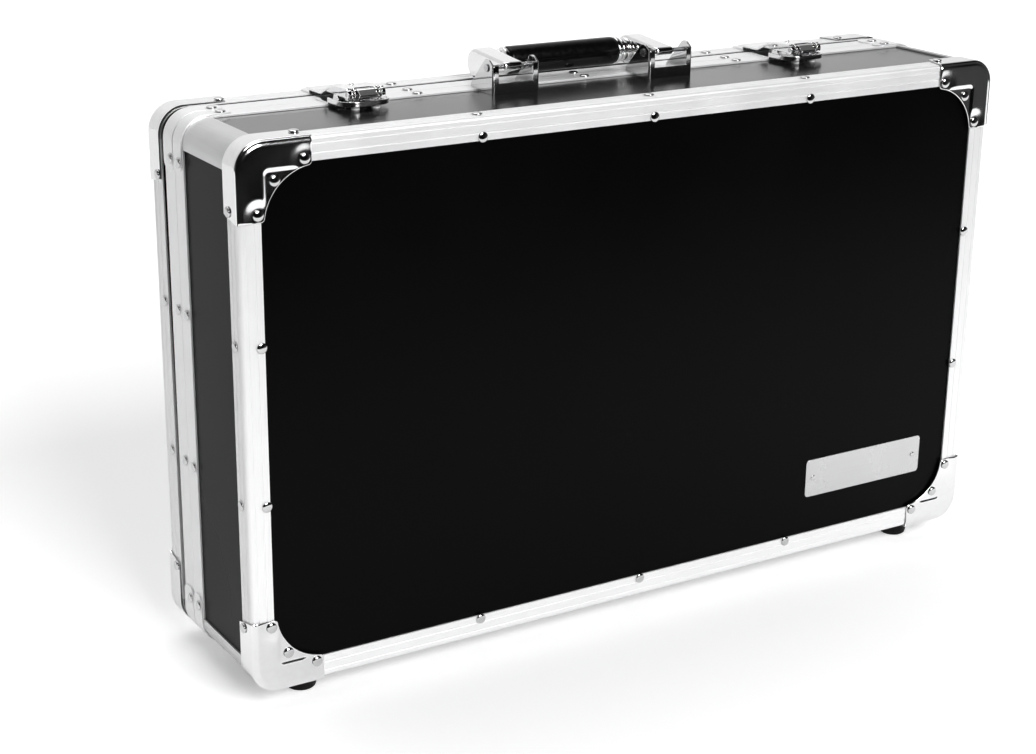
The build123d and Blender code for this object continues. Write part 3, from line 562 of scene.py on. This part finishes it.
def solids_of(node):
    """The separate solids of a node, each as its list of points."""
    form = welded(node)
    left = set(form.verts)
    groups = []
    while left:
        front = [left.pop()]
        group = []
        while front:
            vertex = front.pop()
            group.append(vertex.co.copy())
            for edge in vertex.link_edges:
                other = edge.other_vert(vertex)
                if other in left:
                    left.discard(other)
                    front.append(other)
        groups.append(group)
    form.free()
    return groups


def spread(points):
    """The lowest and the highest corner round a list of points."""
    low = Vector(min(p[i] for p in points) for i in range(3))
    high = Vector(max(p[i] for p in points) for i in range(3))
    return low, high


# ------------------------------------------------------------------ rivets
def head_places(node, outward=None):
    """Each rivet head of a node: the middle of its foot, the way it faces, its radius and its rise."""
    at_end = 0.02 * MM
    places = []
    for points in solids_of(node):
        low, high = spread(points)
        size = high - low
        axis = min(range(3), key=lambda i: size[i])
        middle = (low + high) / 2
        ends = (low[axis], high[axis])
        reach = [
            max((p - middle).length for p in points if abs(p[axis] - end) < at_end) for end in ends
        ]
        if outward is None:
            foot, top = ends if reach[0] > reach[1] else ends[::-1]
        else:
            foot, top = ends if outward[axis] > 0 else ends[::-1]
        facing = Vector((0, 0, 0))
        facing[axis] = 1.0 if top > foot else -1.0
        middle[axis] = foot
        radius = max(size[i] for i in range(3) if i != axis) / 2
        places.append((middle, facing, radius, abs(top - foot)))
    return places


def head_mesh(rings, segments):
    """A rivet head of unit radius and unit rise: an undercut neck, a thin rim and a flattened dome."""
    neck, gap, rim = 0.78, 0.27, 0.38
    first, fullness = 8, 0.92
    profile = [(neck, 0.0), (neck, gap), (1.0, gap + 0.03), (1.0, rim - 0.04)]
    for i in range(rings + 1):
        angle = radians(first + (90 - first) * i / rings)
        profile.append((cos(angle) ** fullness if i < rings else 0.0, rim + (1 - rim) * sin(angle)))
    return lathed("rivet_head", profile, (0, 0, 0), (0, 0, 1), segments, FINISHES["rivet_steel"])


def head_tree():
    """Geometry nodes that set a head on every point, turned to its facing and given its size."""
    tree = bpy.data.node_groups.new("rivet_heads", "GeometryNodeTree")
    face = tree.interface
    for name, kind in (("Places", "Geometry"), ("Head", "Object"), ("Radius", "Float"),
                       ("Rise", "Float"), ("Seed", "Int"), ("Finish", "Material")):
        face.new_socket(name, in_out="INPUT", socket_type=f"NodeSocket{kind}")
    face.new_socket("Heads", in_out="OUTPUT", socket_type="NodeSocketGeometry")
    given = tree.nodes.new("NodeGroupInput").outputs
    head = wired(tree, "GeometryNodeObjectInfo", {"Object": given["Head"]})
    facing = tree.nodes.new("GeometryNodeInputNamedAttribute")
    facing.data_type = "FLOAT_VECTOR"
    facing.inputs["Name"].default_value = "facing"
    turned = wired(tree, "FunctionNodeAlignRotationToVector", {"Vector": facing.outputs["Attribute"]})
    turned.axis = "Z"
    spin = wired(tree, "FunctionNodeRandomValue", {"Seed": given["Seed"]})
    spin.data_type = "FLOAT"
    least, most, angle = spin.inputs[2], spin.inputs[3], spin.outputs[1]  # its float sockets
    least.default_value = 0.0
    most.default_value = tau
    about = wired(tree, "FunctionNodeAxisAngleToRotation", {"Angle": angle})
    about.inputs["Axis"].default_value = (0.0, 0.0, 1.0)
    set_down = wired(tree, "FunctionNodeRotateRotation", {
        "Rotation": turned.outputs["Rotation"], "Rotate By": about.outputs["Rotation"]})
    set_down.rotation_space = "LOCAL"
    size = wired(tree, "ShaderNodeCombineXYZ", {
        "X": given["Radius"], "Y": given["Radius"], "Z": given["Rise"]})
    points = wired(tree, "GeometryNodeMeshToPoints", {"Mesh": given["Places"]})
    copies = wired(tree, "GeometryNodeInstanceOnPoints", {
        "Points": points.outputs["Points"], "Instance": head.outputs["Geometry"],
        "Rotation": set_down.outputs["Rotation"], "Scale": size.outputs["Vector"]})
    real = wired(tree, "GeometryNodeRealizeInstances", {"Geometry": copies.outputs["Instances"]})
    finish = wired(tree, "GeometryNodeSetMaterial", {
        "Geometry": real.outputs["Geometry"], "Material": given["Finish"]})
    wired(tree, "NodeGroupOutput", {"Heads": finish.outputs["Geometry"]})
    return tree


def set_input(modifier, tree, name, value):
    """Sets a named input of a geometry nodes modifier."""
    socket = next(item for item in tree.interface.items_tree
                  if item.item_type == "SOCKET" and item.in_out == "INPUT" and item.name == name)
    modifier[socket.identifier] = value


def heads_for(node, tree, head, seed, outward=None):
    """Rivet heads in place of a node of rivets, as one mesh."""
    places = head_places(node, outward)
    mesh = bpy.data.meshes.new(f"{node}_heads")
    mesh.from_pydata([middle for middle, *_ in places], [], [])
    facing = mesh.attributes.new("facing", "FLOAT_VECTOR", "POINT")
    facing.data.foreach_set("vector", [value for _, way, *_ in places for value in way])
    piece = new_object(f"{node}_heads", mesh)
    modifier = piece.modifiers.new("heads", "NODES")
    modifier.node_group = tree
    *_, radius, rise = places[0]
    for name, value in (("Head", head), ("Radius", radius), ("Rise", rise), ("Seed", seed),
                        ("Finish", finish_of(node))):
        set_input(modifier, tree, name, value)
    smoothed(baked(piece))
    return in_place_of(node, piece)


# ------------------------------------------------------------------ corner brackets
def eased(value, low, high):
    """From 0 to 1 between two values, with soft ends."""
    share = min(1.0, max(0.0, (value - low) / (high - low)))
    return share * share * (3 - 2 * share)


def along(points, share):
    """The point at a share of the length of a line of points."""
    lengths = [(q - p).length for p, q in zip(points, points[1:])]
    left = share * sum(lengths)
    for start, end, length in zip(points, points[1:], lengths):
        if left <= length:
            return start.lerp(end, left / length)
        left -= length
    return points[-1].copy()


def turned_points(centre, radius, start, stop, steps):
    """Points of a plane arc, by angles in radians."""
    return [
        Vector((centre[0] + radius * cos(start + (stop - start) * i / steps),
                centre[1] + radius * sin(start + (stop - start) * i / steps)))
        for i in range(steps + 1)
    ]


def bracket_outlines(sizes):
    """The line where the face begins to bend, the inner line with its tips and arc, and a tip's middle."""
    corner_steps, tip_steps, arc_steps = 24, 8, 48
    bend_line = sizes.bend - sizes.sheet
    corner = (sizes.corner, sizes.corner)
    outer = [Vector((sizes.leg, bend_line))]
    outer += turned_points(corner, sizes.corner - bend_line, -pi / 2, -pi, corner_steps)
    outer.append(Vector((bend_line, sizes.leg)))
    centre = Vector((sizes.arc_centre, sizes.arc_centre))
    reach = sizes.arc_radius + sizes.tip
    across = sizes.arc_centre - sizes.leg + sizes.tip
    down = sqrt(reach * reach - across * across)
    tip = centre - Vector((across, down))
    swing = pi / 2 - asin(across / reach)
    first = turned_points(tip, sizes.tip, 0.0, swing, tip_steps)
    arc_points = turned_points(centre, sizes.arc_radius, swing - pi, -pi / 2 - swing, arc_steps)
    last = [Vector((p.y, p.x)) for p in reversed(first)]
    return outer, first + arc_points[1:-1] + last, tip


def bracket_height(sizes, u, v, tip):
    """How far the outer skin stands out from the case's face at a place on it."""
    corner = Vector((sizes.corner, sizes.corner))
    place = Vector((u, v))
    if u < corner.x and v < corner.y:
        from_edge = corner.x + sizes.sheet - (place - corner).length
    else:
        from_edge = min(u, v) + sizes.sheet
    middle = (sizes.band_fall + sizes.band_foot) / 2 + sizes.band_round
    if u < middle and v < middle:
        inward = middle - (place - Vector((middle, middle))).length
    else:
        inward = min(u, v)
    band = eased(from_edge, sizes.band_outer, sizes.band_flat)
    band *= 1 - eased(inward, sizes.band_fall, sizes.band_foot)
    for rivet in ((sizes.rivet_end, sizes.rivet_inset), (sizes.rivet_inset, sizes.rivet_end)):
        band *= eased((place - Vector(rivet)).length, sizes.cone_foot, sizes.cone_rim)
    to_edge = (place - Vector((sizes.arc_centre, sizes.arc_centre))).length - sizes.arc_radius
    to_edge = min(to_edge, sizes.leg - max(u, v))
    for knee in (tip, Vector((tip.y, tip.x))):
        if u > knee.x and v > knee.y:
            to_edge = min(to_edge, sizes.tip - (place - knee).length)
    to_edge = min(sizes.edge, max(0.0, to_edge))
    short = sizes.edge - to_edge
    return sizes.sheet + sizes.rise * band - sizes.edge + sqrt(sizes.edge ** 2 - short ** 2)


def bracket_sheet(sizes):
    """The outer skin of one bracket, as rows of (from the end, from the top, outward) places."""
    outer, inner, tip = bracket_outlines(sizes)
    starts = [along(inner, i / sizes.columns) for i in range(sizes.columns + 1)]
    stops = [along(outer, i / sizes.columns) for i in range(sizes.columns + 1)]
    corner = Vector((sizes.corner, sizes.corner))
    full = sizes.leg - sizes.corner
    edge_steps, bend_steps, flange_steps = 4, 6, 8
    run_on = 0.4 * MM  # how far the outer step's strips run on over the flat
    outward = []
    for stop in stops:
        if stop.x > sizes.corner:
            outward.append(Vector((0.0, -1.0)))
        elif stop.y > sizes.corner:
            outward.append(Vector((-1.0, 0.0)))
        else:
            outward.append((stop - corner).normalized())
    strip = sizes.band_flat + run_on - sizes.bend
    turns = [stop - way * strip for stop, way in zip(stops, outward)]
    places = []
    for i in range(edge_steps + 1):
        near = sizes.edge * (1 - cos(radians(90 / edge_steps * i)))
        places.append([start + (turn - start).normalized() * near
                       for start, turn in zip(starts, turns)])
    begins = places[-1]
    places += [[begin.lerp(turn, i / sizes.rows) for begin, turn in zip(begins, turns)]
               for i in range(1, sizes.rows + 1)]
    places += [[turn.lerp(stop, i / sizes.strips) for turn, stop in zip(turns, stops)]
               for i in range(1, sizes.strips + 1)]
    rows = [[(p.x, p.y, bracket_height(sizes, p.x, p.y, tip)) for p in row] for row in places]
    angles = [radians(90 / bend_steps * i) for i in range(1, bend_steps + 1)]
    section = [(sizes.bend * sin(angle), sizes.bend * (1 - cos(angle))) for angle in angles]
    reach = sizes.flange + sizes.sheet
    section += [(sizes.bend, sizes.bend + (reach - sizes.bend) * i / flange_steps)
                for i in range(1, flange_steps + 1)]
    for out, down in section:
        row = []
        draw = 1 - sizes.slant / full * max(0.0, down - sizes.sheet) / sizes.flange
        for stop, way in zip(stops, outward):
            place = stop.copy()
            if place.x > sizes.corner:
                place.x = sizes.corner + (place.x - sizes.corner) * draw
            if place.y > sizes.corner:
                place.y = sizes.corner + (place.y - sizes.corner) * draw
            place += way * out
            row.append((place.x, place.y, sizes.sheet - down))
        rows.append(row)
    return rows


def pressed_brackets(node, sizes, face, facing):
    """Four pressed brackets on a face of the case, in place of a node."""
    rows = bracket_sheet(sizes)
    form = bmesh.new()
    half = (CASE_HIGH - CASE_LOW) / 2
    for end in (-1, 1):
        for rise in (-1, 1):
            grid = [[form.verts.new((CASE_MIDDLE.x + end * (half.x - u),
                                     face + facing * w,
                                     CASE_MIDDLE.z + rise * (half.z - v))) for u, v, w in row]
                    for row in rows]
            flip = end * rise * facing > 0
            for lower, upper in zip(grid, grid[1:]):
                for i in range(len(lower) - 1):
                    corners = (lower[i], lower[i + 1], upper[i + 1], upper[i])
                    form.faces.new(corners[::-1] if flip else corners)
    piece = new_object(f"{node}_pressed", meshed(form, f"{node}_pressed"))
    skin = piece.modifiers.new("sheet", "SOLIDIFY")
    skin.thickness = sizes.sheet - sizes.edge
    skin.offset = -1.0
    skin.use_even_offset = False
    finished = baked(piece)
    coated(finished, finish_of(node))
    smoothed(finished, angle=50.0)
    return in_place_of(node, piece)


# ------------------------------------------------------------------ rounded slabs
def hull_outline(circles, inset, steps):
    """Points round two circles (x, y, radius) drawn together, all moved inward by an inset."""
    (ax, ay, ar), (bx, by, br) = circles
    apart = Vector((bx - ax, by - ay))
    base = atan2(apart.y, apart.x)
    lean = acos((ar - br) / apart.length)
    points = turned_points((ax, ay), ar - inset, base + lean, base + tau - lean, steps)
    points += turned_points((bx, by), br - inset, base - lean, base + lean, steps)
    return points


def rounded_slab(name, circles, low, high, rounding, material, steps=28, rings=5):
    """A slab across the case, from low to high x, with a two-circle outline and rounded edges."""
    form = bmesh.new()
    levels = [(low + rounding * (1 - cos(pi / 2 * i / rings)), rounding * (1 - sin(pi / 2 * i / rings)))
              for i in range(rings + 1)]
    levels += [(high - (x - low), inset) for x, inset in reversed(levels)]
    loops = [[form.verts.new((x, p.x, p.y)) for p in hull_outline(circles, inset, steps)]
             for x, inset in levels]
    for near, far in zip(loops, loops[1:]):
        bridged(form, near, far)
    form.faces.new(loops[0])
    form.faces.new(loops[-1][::-1])
    return closed_piece(form, name, material)


# ------------------------------------------------------------------ handle
def shoulder(node, sizes):
    """A cast shoulder from the handle's pin to the core of the grip."""
    low, high = (Vector(p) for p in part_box(node))
    pin_low, pin_high = (Vector(p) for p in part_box("handle_pins"))
    pin = (pin_low + pin_high) / 2
    knuckle = (pin.y, pin.z, sizes.knuckle)
    boss = (high.y - sizes.boss, low.z + sizes.boss, sizes.boss)
    return rounded_slab(f"{node}_slab", (knuckle, boss), low.x, high.x, sizes.boss_edge,
                        finish_of(node))


def turned_grip(sizes, start, length, radius):
    """The moulded grip, a sleeve on its core with rounded ends."""
    edge, steps, segments = sizes.grip_edge, 10, 96
    profile = [(sizes.core, 0.0)] + arc(radius - edge, edge, edge, -90, 0, steps)
    profile += arc(radius - edge, length - edge, edge, 0, 90, steps) + [(sizes.core, length)]
    return lathed("grip_turned", profile, start, (1, 0, 0), segments, finish_of("grip"))


def ringed_ferrule(sizes, start, way, radius):
    """A ferrule with three rings, from the grip outwards."""
    # where each ring begins and ends along the ferrule, and its share of the grip's radius
    rings = ((0.0, 0.30, 0.96), (0.46, 0.70, 0.84), (0.84, 1.0, 0.89))
    soft, steps, segments = sizes.ferrule_edge, 5, 80
    outline = [(sizes.core, 0.0)]
    for begin, end, share in rings:
        foot, top = begin * sizes.ferrule, end * sizes.ferrule
        outline.append((sizes.neck, foot))
        outline += arc(share * radius - soft, foot + soft, soft, -90, 0, steps)
        outline += arc(share * radius - soft, top - soft, soft, 0, 90, steps)
        outline.append((sizes.neck, top))
    outline.append((sizes.core, sizes.ferrule))
    return lathed(f"cup_{way}", outline, start, (-way, 0, 0), segments, finish_of("ferrules"))


# ------------------------------------------------------------------ seal
def seal_loop(inset, depth, corner, least_below, steps):
    """Points round the seal at one place of its section; below, it keeps at least an inset."""
    below = max(inset, least_below)
    loop = []
    for turn, reach in ((0, inset), (90, inset), (180, below), (270, below)):
        middle = (CASE_HIGH.x - corner if turn in (0, 270) else CASE_LOW.x + corner,
                  CASE_HIGH.z - corner if turn in (0, 90) else CASE_LOW.z + corner)
        for x, z in turned_points(middle, corner - reach, radians(turn), radians(turn + 90), steps):
            loop.append((x, depth, z))
    return loop


def seal_section(sizes, low, high):
    """The seal's section, as (inset from the case's side, depth) pairs, and the inset of its root."""
    clear, steps = 0.05 * MM, 9
    mouth = CORNER_HIGH.y + clear
    root = low.x - CASE_LOW.x
    soft = sizes.seal_round
    crown = sizes.seal_lip + soft
    angles = [radians(90 / steps * i) for i in range(steps + 1)]
    section = [(root + sizes.seal_wall, low.y), (root, low.y), (root, mouth)]
    section += [(crown - soft * sin(angle), mouth + soft - soft * cos(angle)) for angle in angles]
    section += [(crown - soft * cos(angle), high.y - soft + soft * sin(angle)) for angle in angles]
    section.append((root + sizes.seal_wall, high.y))
    return section, root


# ------------------------------------------------------------------ stage
def lit_floor(name, colour, lift):
    """A matte white floor, lifted a little where it is seen; it also glows where the front mirrors it, a
    painted reflection.
    """
    material, tree, shader, coordinates = node_material(name)
    cloud = noise(tree, coordinates, 3.0)
    tree.links.new(tinted(tree, cloud, shade(colour, 0.99), colour), shader.inputs["Base Color"])
    shader.inputs["Roughness"].default_value = 0.9
    shader.inputs["Specular IOR Level"].default_value = 0.0
    path = tree.nodes.new("ShaderNodeLightPath").outputs
    _, depth, _ = split_up(tree, coordinates)
    before_case = ramp(tree, depth, 0.72, 0.0, -0.25, 0.15)
    # Painted reflection: before the case the floor glows for glossy rays, so the front's metal mirrors a
    # brighter floor.
    reflection_glow = worked_out(tree, "MULTIPLY", path["Is Glossy Ray"], before_case)
    seen = worked_out(tree, "MAXIMUM", path["Is Camera Ray"], reflection_glow)
    shader.inputs["Emission Color"].default_value = (1.0, 1.0, 1.0, 1.0)
    tree.links.new(ramp(tree, seen, 0.0, lift), shader.inputs["Emission Strength"])
    return material


def studio_world():
    """A pale room, plain white to the eye: bright behind the case, dimmer to its left and overhead,
    and dark before it but for a faint glow low at the sides."""
    world = bpy.data.worlds.new("studio")
    world.use_nodes = True
    tree = world.node_tree
    nodes, links = tree.nodes, tree.links
    x, y, z = split_up(tree, nodes.new("ShaderNodeTexCoord").outputs["Generated"])
    behind = ramp(tree, y, 0.002, 0.90, -0.05, 0.80)
    rightward = ramp(tree, x, 0.70, 1.0, -0.60, 0.0)
    off_front = ramp(tree, y, 0.0, 0.045, -0.85, -0.70)
    low_down = ramp(tree, z, 1.0, 0.0, 0.0, 0.30)
    overhead = ramp(tree, z, 1.0, 0.55, 0.45, 0.95)
    low_glow = worked_out(tree, "MULTIPLY", off_front, low_down)
    around = worked_out(tree, "MULTIPLY_ADD", behind, rightward, low_glow)
    light = nodes["Background"]
    links.new(worked_out(tree, "MULTIPLY", around, overhead), light.inputs["Strength"])
    light.inputs["Color"].default_value = (1.0, 1.0, 1.0, 1.0)
    seen = nodes.new("ShaderNodeBackground")
    seen.inputs["Color"].default_value = (1.0, 1.0, 1.0, 1.0)
    seen.inputs["Strength"].default_value = 1.0
    path = nodes.new("ShaderNodeLightPath").outputs
    mix = wired(tree, "ShaderNodeMixShader", {
        0: path["Is Camera Ray"], 1: light.outputs["Background"], 2: seen.outputs["Background"]})
    links.new(mix.outputs["Shader"], nodes["World Output"].inputs["Surface"])
    bpy.context.scene.world = world


def lamp_object(name, lamp):
    """Links a new object that holds a lamp."""
    holder = bpy.data.objects.new(name, lamp)
    bpy.context.scene.collection.objects.link(holder)
    return holder


def sun(name, towards, strength, angle):
    """A wide soft lamp that shines along a direction."""
    lamp = bpy.data.lights.new(name, "SUN")
    lamp.energy = strength
    lamp.angle = radians(angle)
    turn = Vector((0, 0, -1)).rotation_difference(Vector(towards))
    lamp_object(name, lamp).rotation_euler = turn.to_euler()


def softbox(name, place, target, size, watts):
    """A rectangular area lamp that looks at a point."""
    lamp = bpy.data.lights.new(name, "AREA")
    lamp.shape = "RECTANGLE"
    lamp.size, lamp.size_y = size
    lamp.energy = watts
    holder = lamp_object(name, lamp)
    holder.location = place
    holder.rotation_euler = (Vector(target) - Vector(place)).to_track_quat("-Z", "Y").to_euler()


# ------------------------------------------------------------------ operators
class CASE_OT_finishes(bpy.types.Operator):
    """Makes the finishes and gives them to the nodes of the frame"""

    bl_idname = "case.finishes"
    bl_label = "Finishes"

    def execute(self, context):
        make_finishes(context.scene.case_colours)
        for name, node in NODES.items():
            finish = finish_of(name)
            for place in node.material_slots:
                place.material = finish
        return {"FINISHED"}


class CASE_OT_lengths(bpy.types.Operator):
    """Rounds the edges of the aluminium lengths and corner profiles"""

    bl_idname = "case.lengths"
    bl_label = "Aluminium lengths"

    def execute(self, context):
        width = context.scene.case_sizes.profile_edge
        for side in SIDES:
            for part in ("front_edge", "closure", "back_edge"):
                softened(f"{part}_{side}", width)
        softened("corner_profiles", width)
        softened("lid_corner_posts", width)
        return {"FINISHED"}


class CASE_OT_brackets(bpy.types.Operator):
    """Rounds the edges of the pressed corner brackets and bands"""

    bl_idname = "case.brackets"
    bl_label = "Corner brackets"

    def execute(self, context):
        sizes = context.scene.bracket_sizes
        pressed_brackets("front_corner_brackets", sizes, CASE_LOW.y, -1)
        pressed_brackets("back_corner_brackets", sizes, CASE_HIGH.y, 1)
        softened("corner_bands", context.scene.case_sizes.sheet_edge)
        return {"FINISHED"}


class CASE_OT_rivets(bpy.types.Operator):
    """Sets a domed head on every rivet"""

    bl_idname = "case.rivets"
    bl_label = "Rivets"

    def execute(self, context):
        sizes = context.scene.case_sizes
        head = head_mesh(sizes.rivet_rings, sizes.rivet_segments)
        tree = head_tree()
        heads_for("shell_rivets", tree, head, seed=3)
        heads_for("lid_rivets", tree, head, seed=5)
        heads_for("name_plate_rivets", tree, head, seed=7, outward=(0, -1, 0))
        heads_for("handle_bracket_rivets", tree, head, seed=9, outward=(0, 0, 1))
        bpy.data.objects.remove(head)
        return {"FINISHED"}


class CASE_OT_plate(bpy.types.Operator):
    """Rounds the edge of the blank name plate"""

    bl_idname = "case.plate"
    bl_label = "Name plate"

    def execute(self, context):
        softened("name_plate", context.scene.case_sizes.sheet_edge)
        return {"FINISHED"}


class CASE_OT_handle(bpy.types.Operator):
    """Makes the handle: brackets, shoulders, ferrules and the moulded grip"""

    bl_idname = "case.handle"
    bl_label = "Handle"

    def execute(self, context):
        width = context.scene.case_sizes.sheet_edge
        sizes = context.scene.handle_sizes
        for side in HANDS:
            softened(f"handle_bracket_{side}", width)
            node = f"handle_shoulder_{side}"
            in_place_of(node, shoulder(node, sizes))
        low, high = (Vector(p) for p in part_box("grip"))
        length, radius = high.x - low.x, (high.z - low.z) / 2
        start = Vector((low.x, (low.y + high.y) / 2, (low.z + high.z) / 2))
        in_place_of("grip", turned_grip(sizes, start, length, radius))
        low, high = (Vector(p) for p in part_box("ferrules"))
        cups = [ringed_ferrule(sizes, Vector((x, start.y, start.z)), way, radius)
                for x, way in ((low.x + sizes.ferrule, 1), (high.x - sizes.ferrule, -1))]
        in_place_of("ferrules", joined("ferrules_turned", cups))
        return {"FINISHED"}


class CASE_OT_latches(bpy.types.Operator):
    """Rounds the pressed parts of the two draw latches"""

    bl_idname = "case.latches"
    bl_label = "Latches"

    def execute(self, context):
        width = context.scene.case_sizes.sheet_edge
        for side in HANDS:
            for part in ("latch_base", "lever", "claw"):
                softened(f"{part}_{side}", width)
        softened("keepers", width)
        return {"FINISHED"}


class CASE_OT_hinges(bpy.types.Operator):
    """Rounds the hinge leaves under the case"""

    bl_idname = "case.hinges"
    bl_label = "Hinges"

    def execute(self, context):
        width = context.scene.case_sizes.sheet_edge
        softened("hinge_base_leaves", width)
        softened("hinge_lid_leaves", width)
        return {"FINISHED"}


class CASE_OT_seal(bpy.types.Operator):
    """Makes the seal, whose soft lip fills the seam between shell and lid"""

    bl_idname = "case.seal"
    bl_label = "Seal"

    def execute(self, context):
        sizes = context.scene.case_sizes
        corner = context.scene.bracket_sizes.corner
        low, high = (Vector(p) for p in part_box("seal"))
        corner_steps = 16
        section, root = seal_section(sizes, low, high)
        form = bmesh.new()
        loops = [[form.verts.new(point) for point in seal_loop(inset, depth, corner, root, corner_steps)]
                 for inset, depth in section]
        for near, far in zip(loops, loops[1:] + loops[:1]):
            bridged(form, near, far)
        in_place_of("seal", closed_piece(form, "seal_lipped", finish_of("seal")))
        return {"FINISHED"}


class CASE_OT_lining(bpy.types.Operator):
    """Makes the two foam pads with soft edges"""

    bl_idname = "case.lining"
    bl_label = "Foam lining"

    def execute(self, context):
        for node, width in (("base_foam", 2.4 * MM), ("lid_foam", 1.8 * MM)):
            softened(node, width, 4)
        return {"FINISHED"}


class CASE_OT_stage(bpy.types.Operator):
    """Sets the floor, the lamps, the pale room and the camera"""

    bl_idname = "case.stage"
    bl_label = "Stage"

    def execute(self, context):
        left, right, front, back = -3.0, 3.0, -0.88, 4.0
        form = bmesh.new()
        for x, y in ((left, front), (right, front), (right, back), (left, back)):
            form.verts.new((x, y, 0.0))
        form.faces.new(form.verts)
        mesh = meshed(form, "floor")
        mesh.materials.append(lit_floor("floor", (0.97, 0.97, 0.97), 0.32))
        new_object("floor", mesh)
        studio_world()
        sun("key", (-0.10, 0.86, -0.49), 2.6, 30.0)
        sun("overhead", (-0.05, -0.35, -0.93), 1.0, 50.0)
        softbox("window", (0.3, -2.0, 1.95), (0.0, 0.0, 0.2), (1.1, 0.55), 7.0)
        view = bpy.data.cameras.new("camera")
        view.lens = 69.42
        view.sensor_width = 36.0
        view.sensor_fit = "HORIZONTAL"
        holder = bpy.data.objects.new("camera", view)
        holder.location = (-0.78236, -1.17254, 0.64686)
        holder.rotation_euler = Euler((radians(71.04095), radians(-0.56855), radians(-31.28586)))
        context.scene.collection.objects.link(holder)
        context.scene.camera = holder
        context.scene.view_settings.view_transform = "Standard"
        return {"FINISHED"}


OPERATORS = (
    CASE_OT_finishes,
    CASE_OT_lengths,
    CASE_OT_brackets,
    CASE_OT_rivets,
    CASE_OT_plate,
    CASE_OT_handle,
    CASE_OT_latches,
    CASE_OT_hinges,
    CASE_OT_seal,
    CASE_OT_lining,
    CASE_OT_stage,
)


class CASE_PT_sidebar(bpy.types.Panel):
    """Lists the steps that dress the case"""

    bl_idname = "CASE_PT_sidebar"
    bl_label = "Pedal case"
    bl_space_type = "VIEW_3D"
    bl_region_type = "UI"
    bl_category = "Pedal case"

    def draw(self, context):
        column = self.layout.column()
        for kind in OPERATORS:
            column.operator(kind.bl_idname)


CLASSES = (CaseSizes, BracketSizes, HandleSizes, CaseColours, *OPERATORS, CASE_PT_sidebar)


def register():
    for kind in CLASSES:
        bpy.utils.register_class(kind)
    bpy.types.Scene.case_sizes = bpy.props.PointerProperty(type=CaseSizes)
    bpy.types.Scene.bracket_sizes = bpy.props.PointerProperty(type=BracketSizes)
    bpy.types.Scene.handle_sizes = bpy.props.PointerProperty(type=HandleSizes)
    bpy.types.Scene.case_colours = bpy.props.PointerProperty(type=CaseColours)


def unregister():
    del bpy.types.Scene.case_colours
    del bpy.types.Scene.handle_sizes
    del bpy.types.Scene.bracket_sizes
    del bpy.types.Scene.case_sizes
    for kind in reversed(CLASSES):
        bpy.utils.unregister_class(kind)


def main():
    """Runs every step in order."""
    register()
    for kind in OPERATORS:
        group, step = kind.bl_idname.split(".")
        getattr(getattr(bpy.ops, group), step)()


if __name__ == "__main__":
    main()
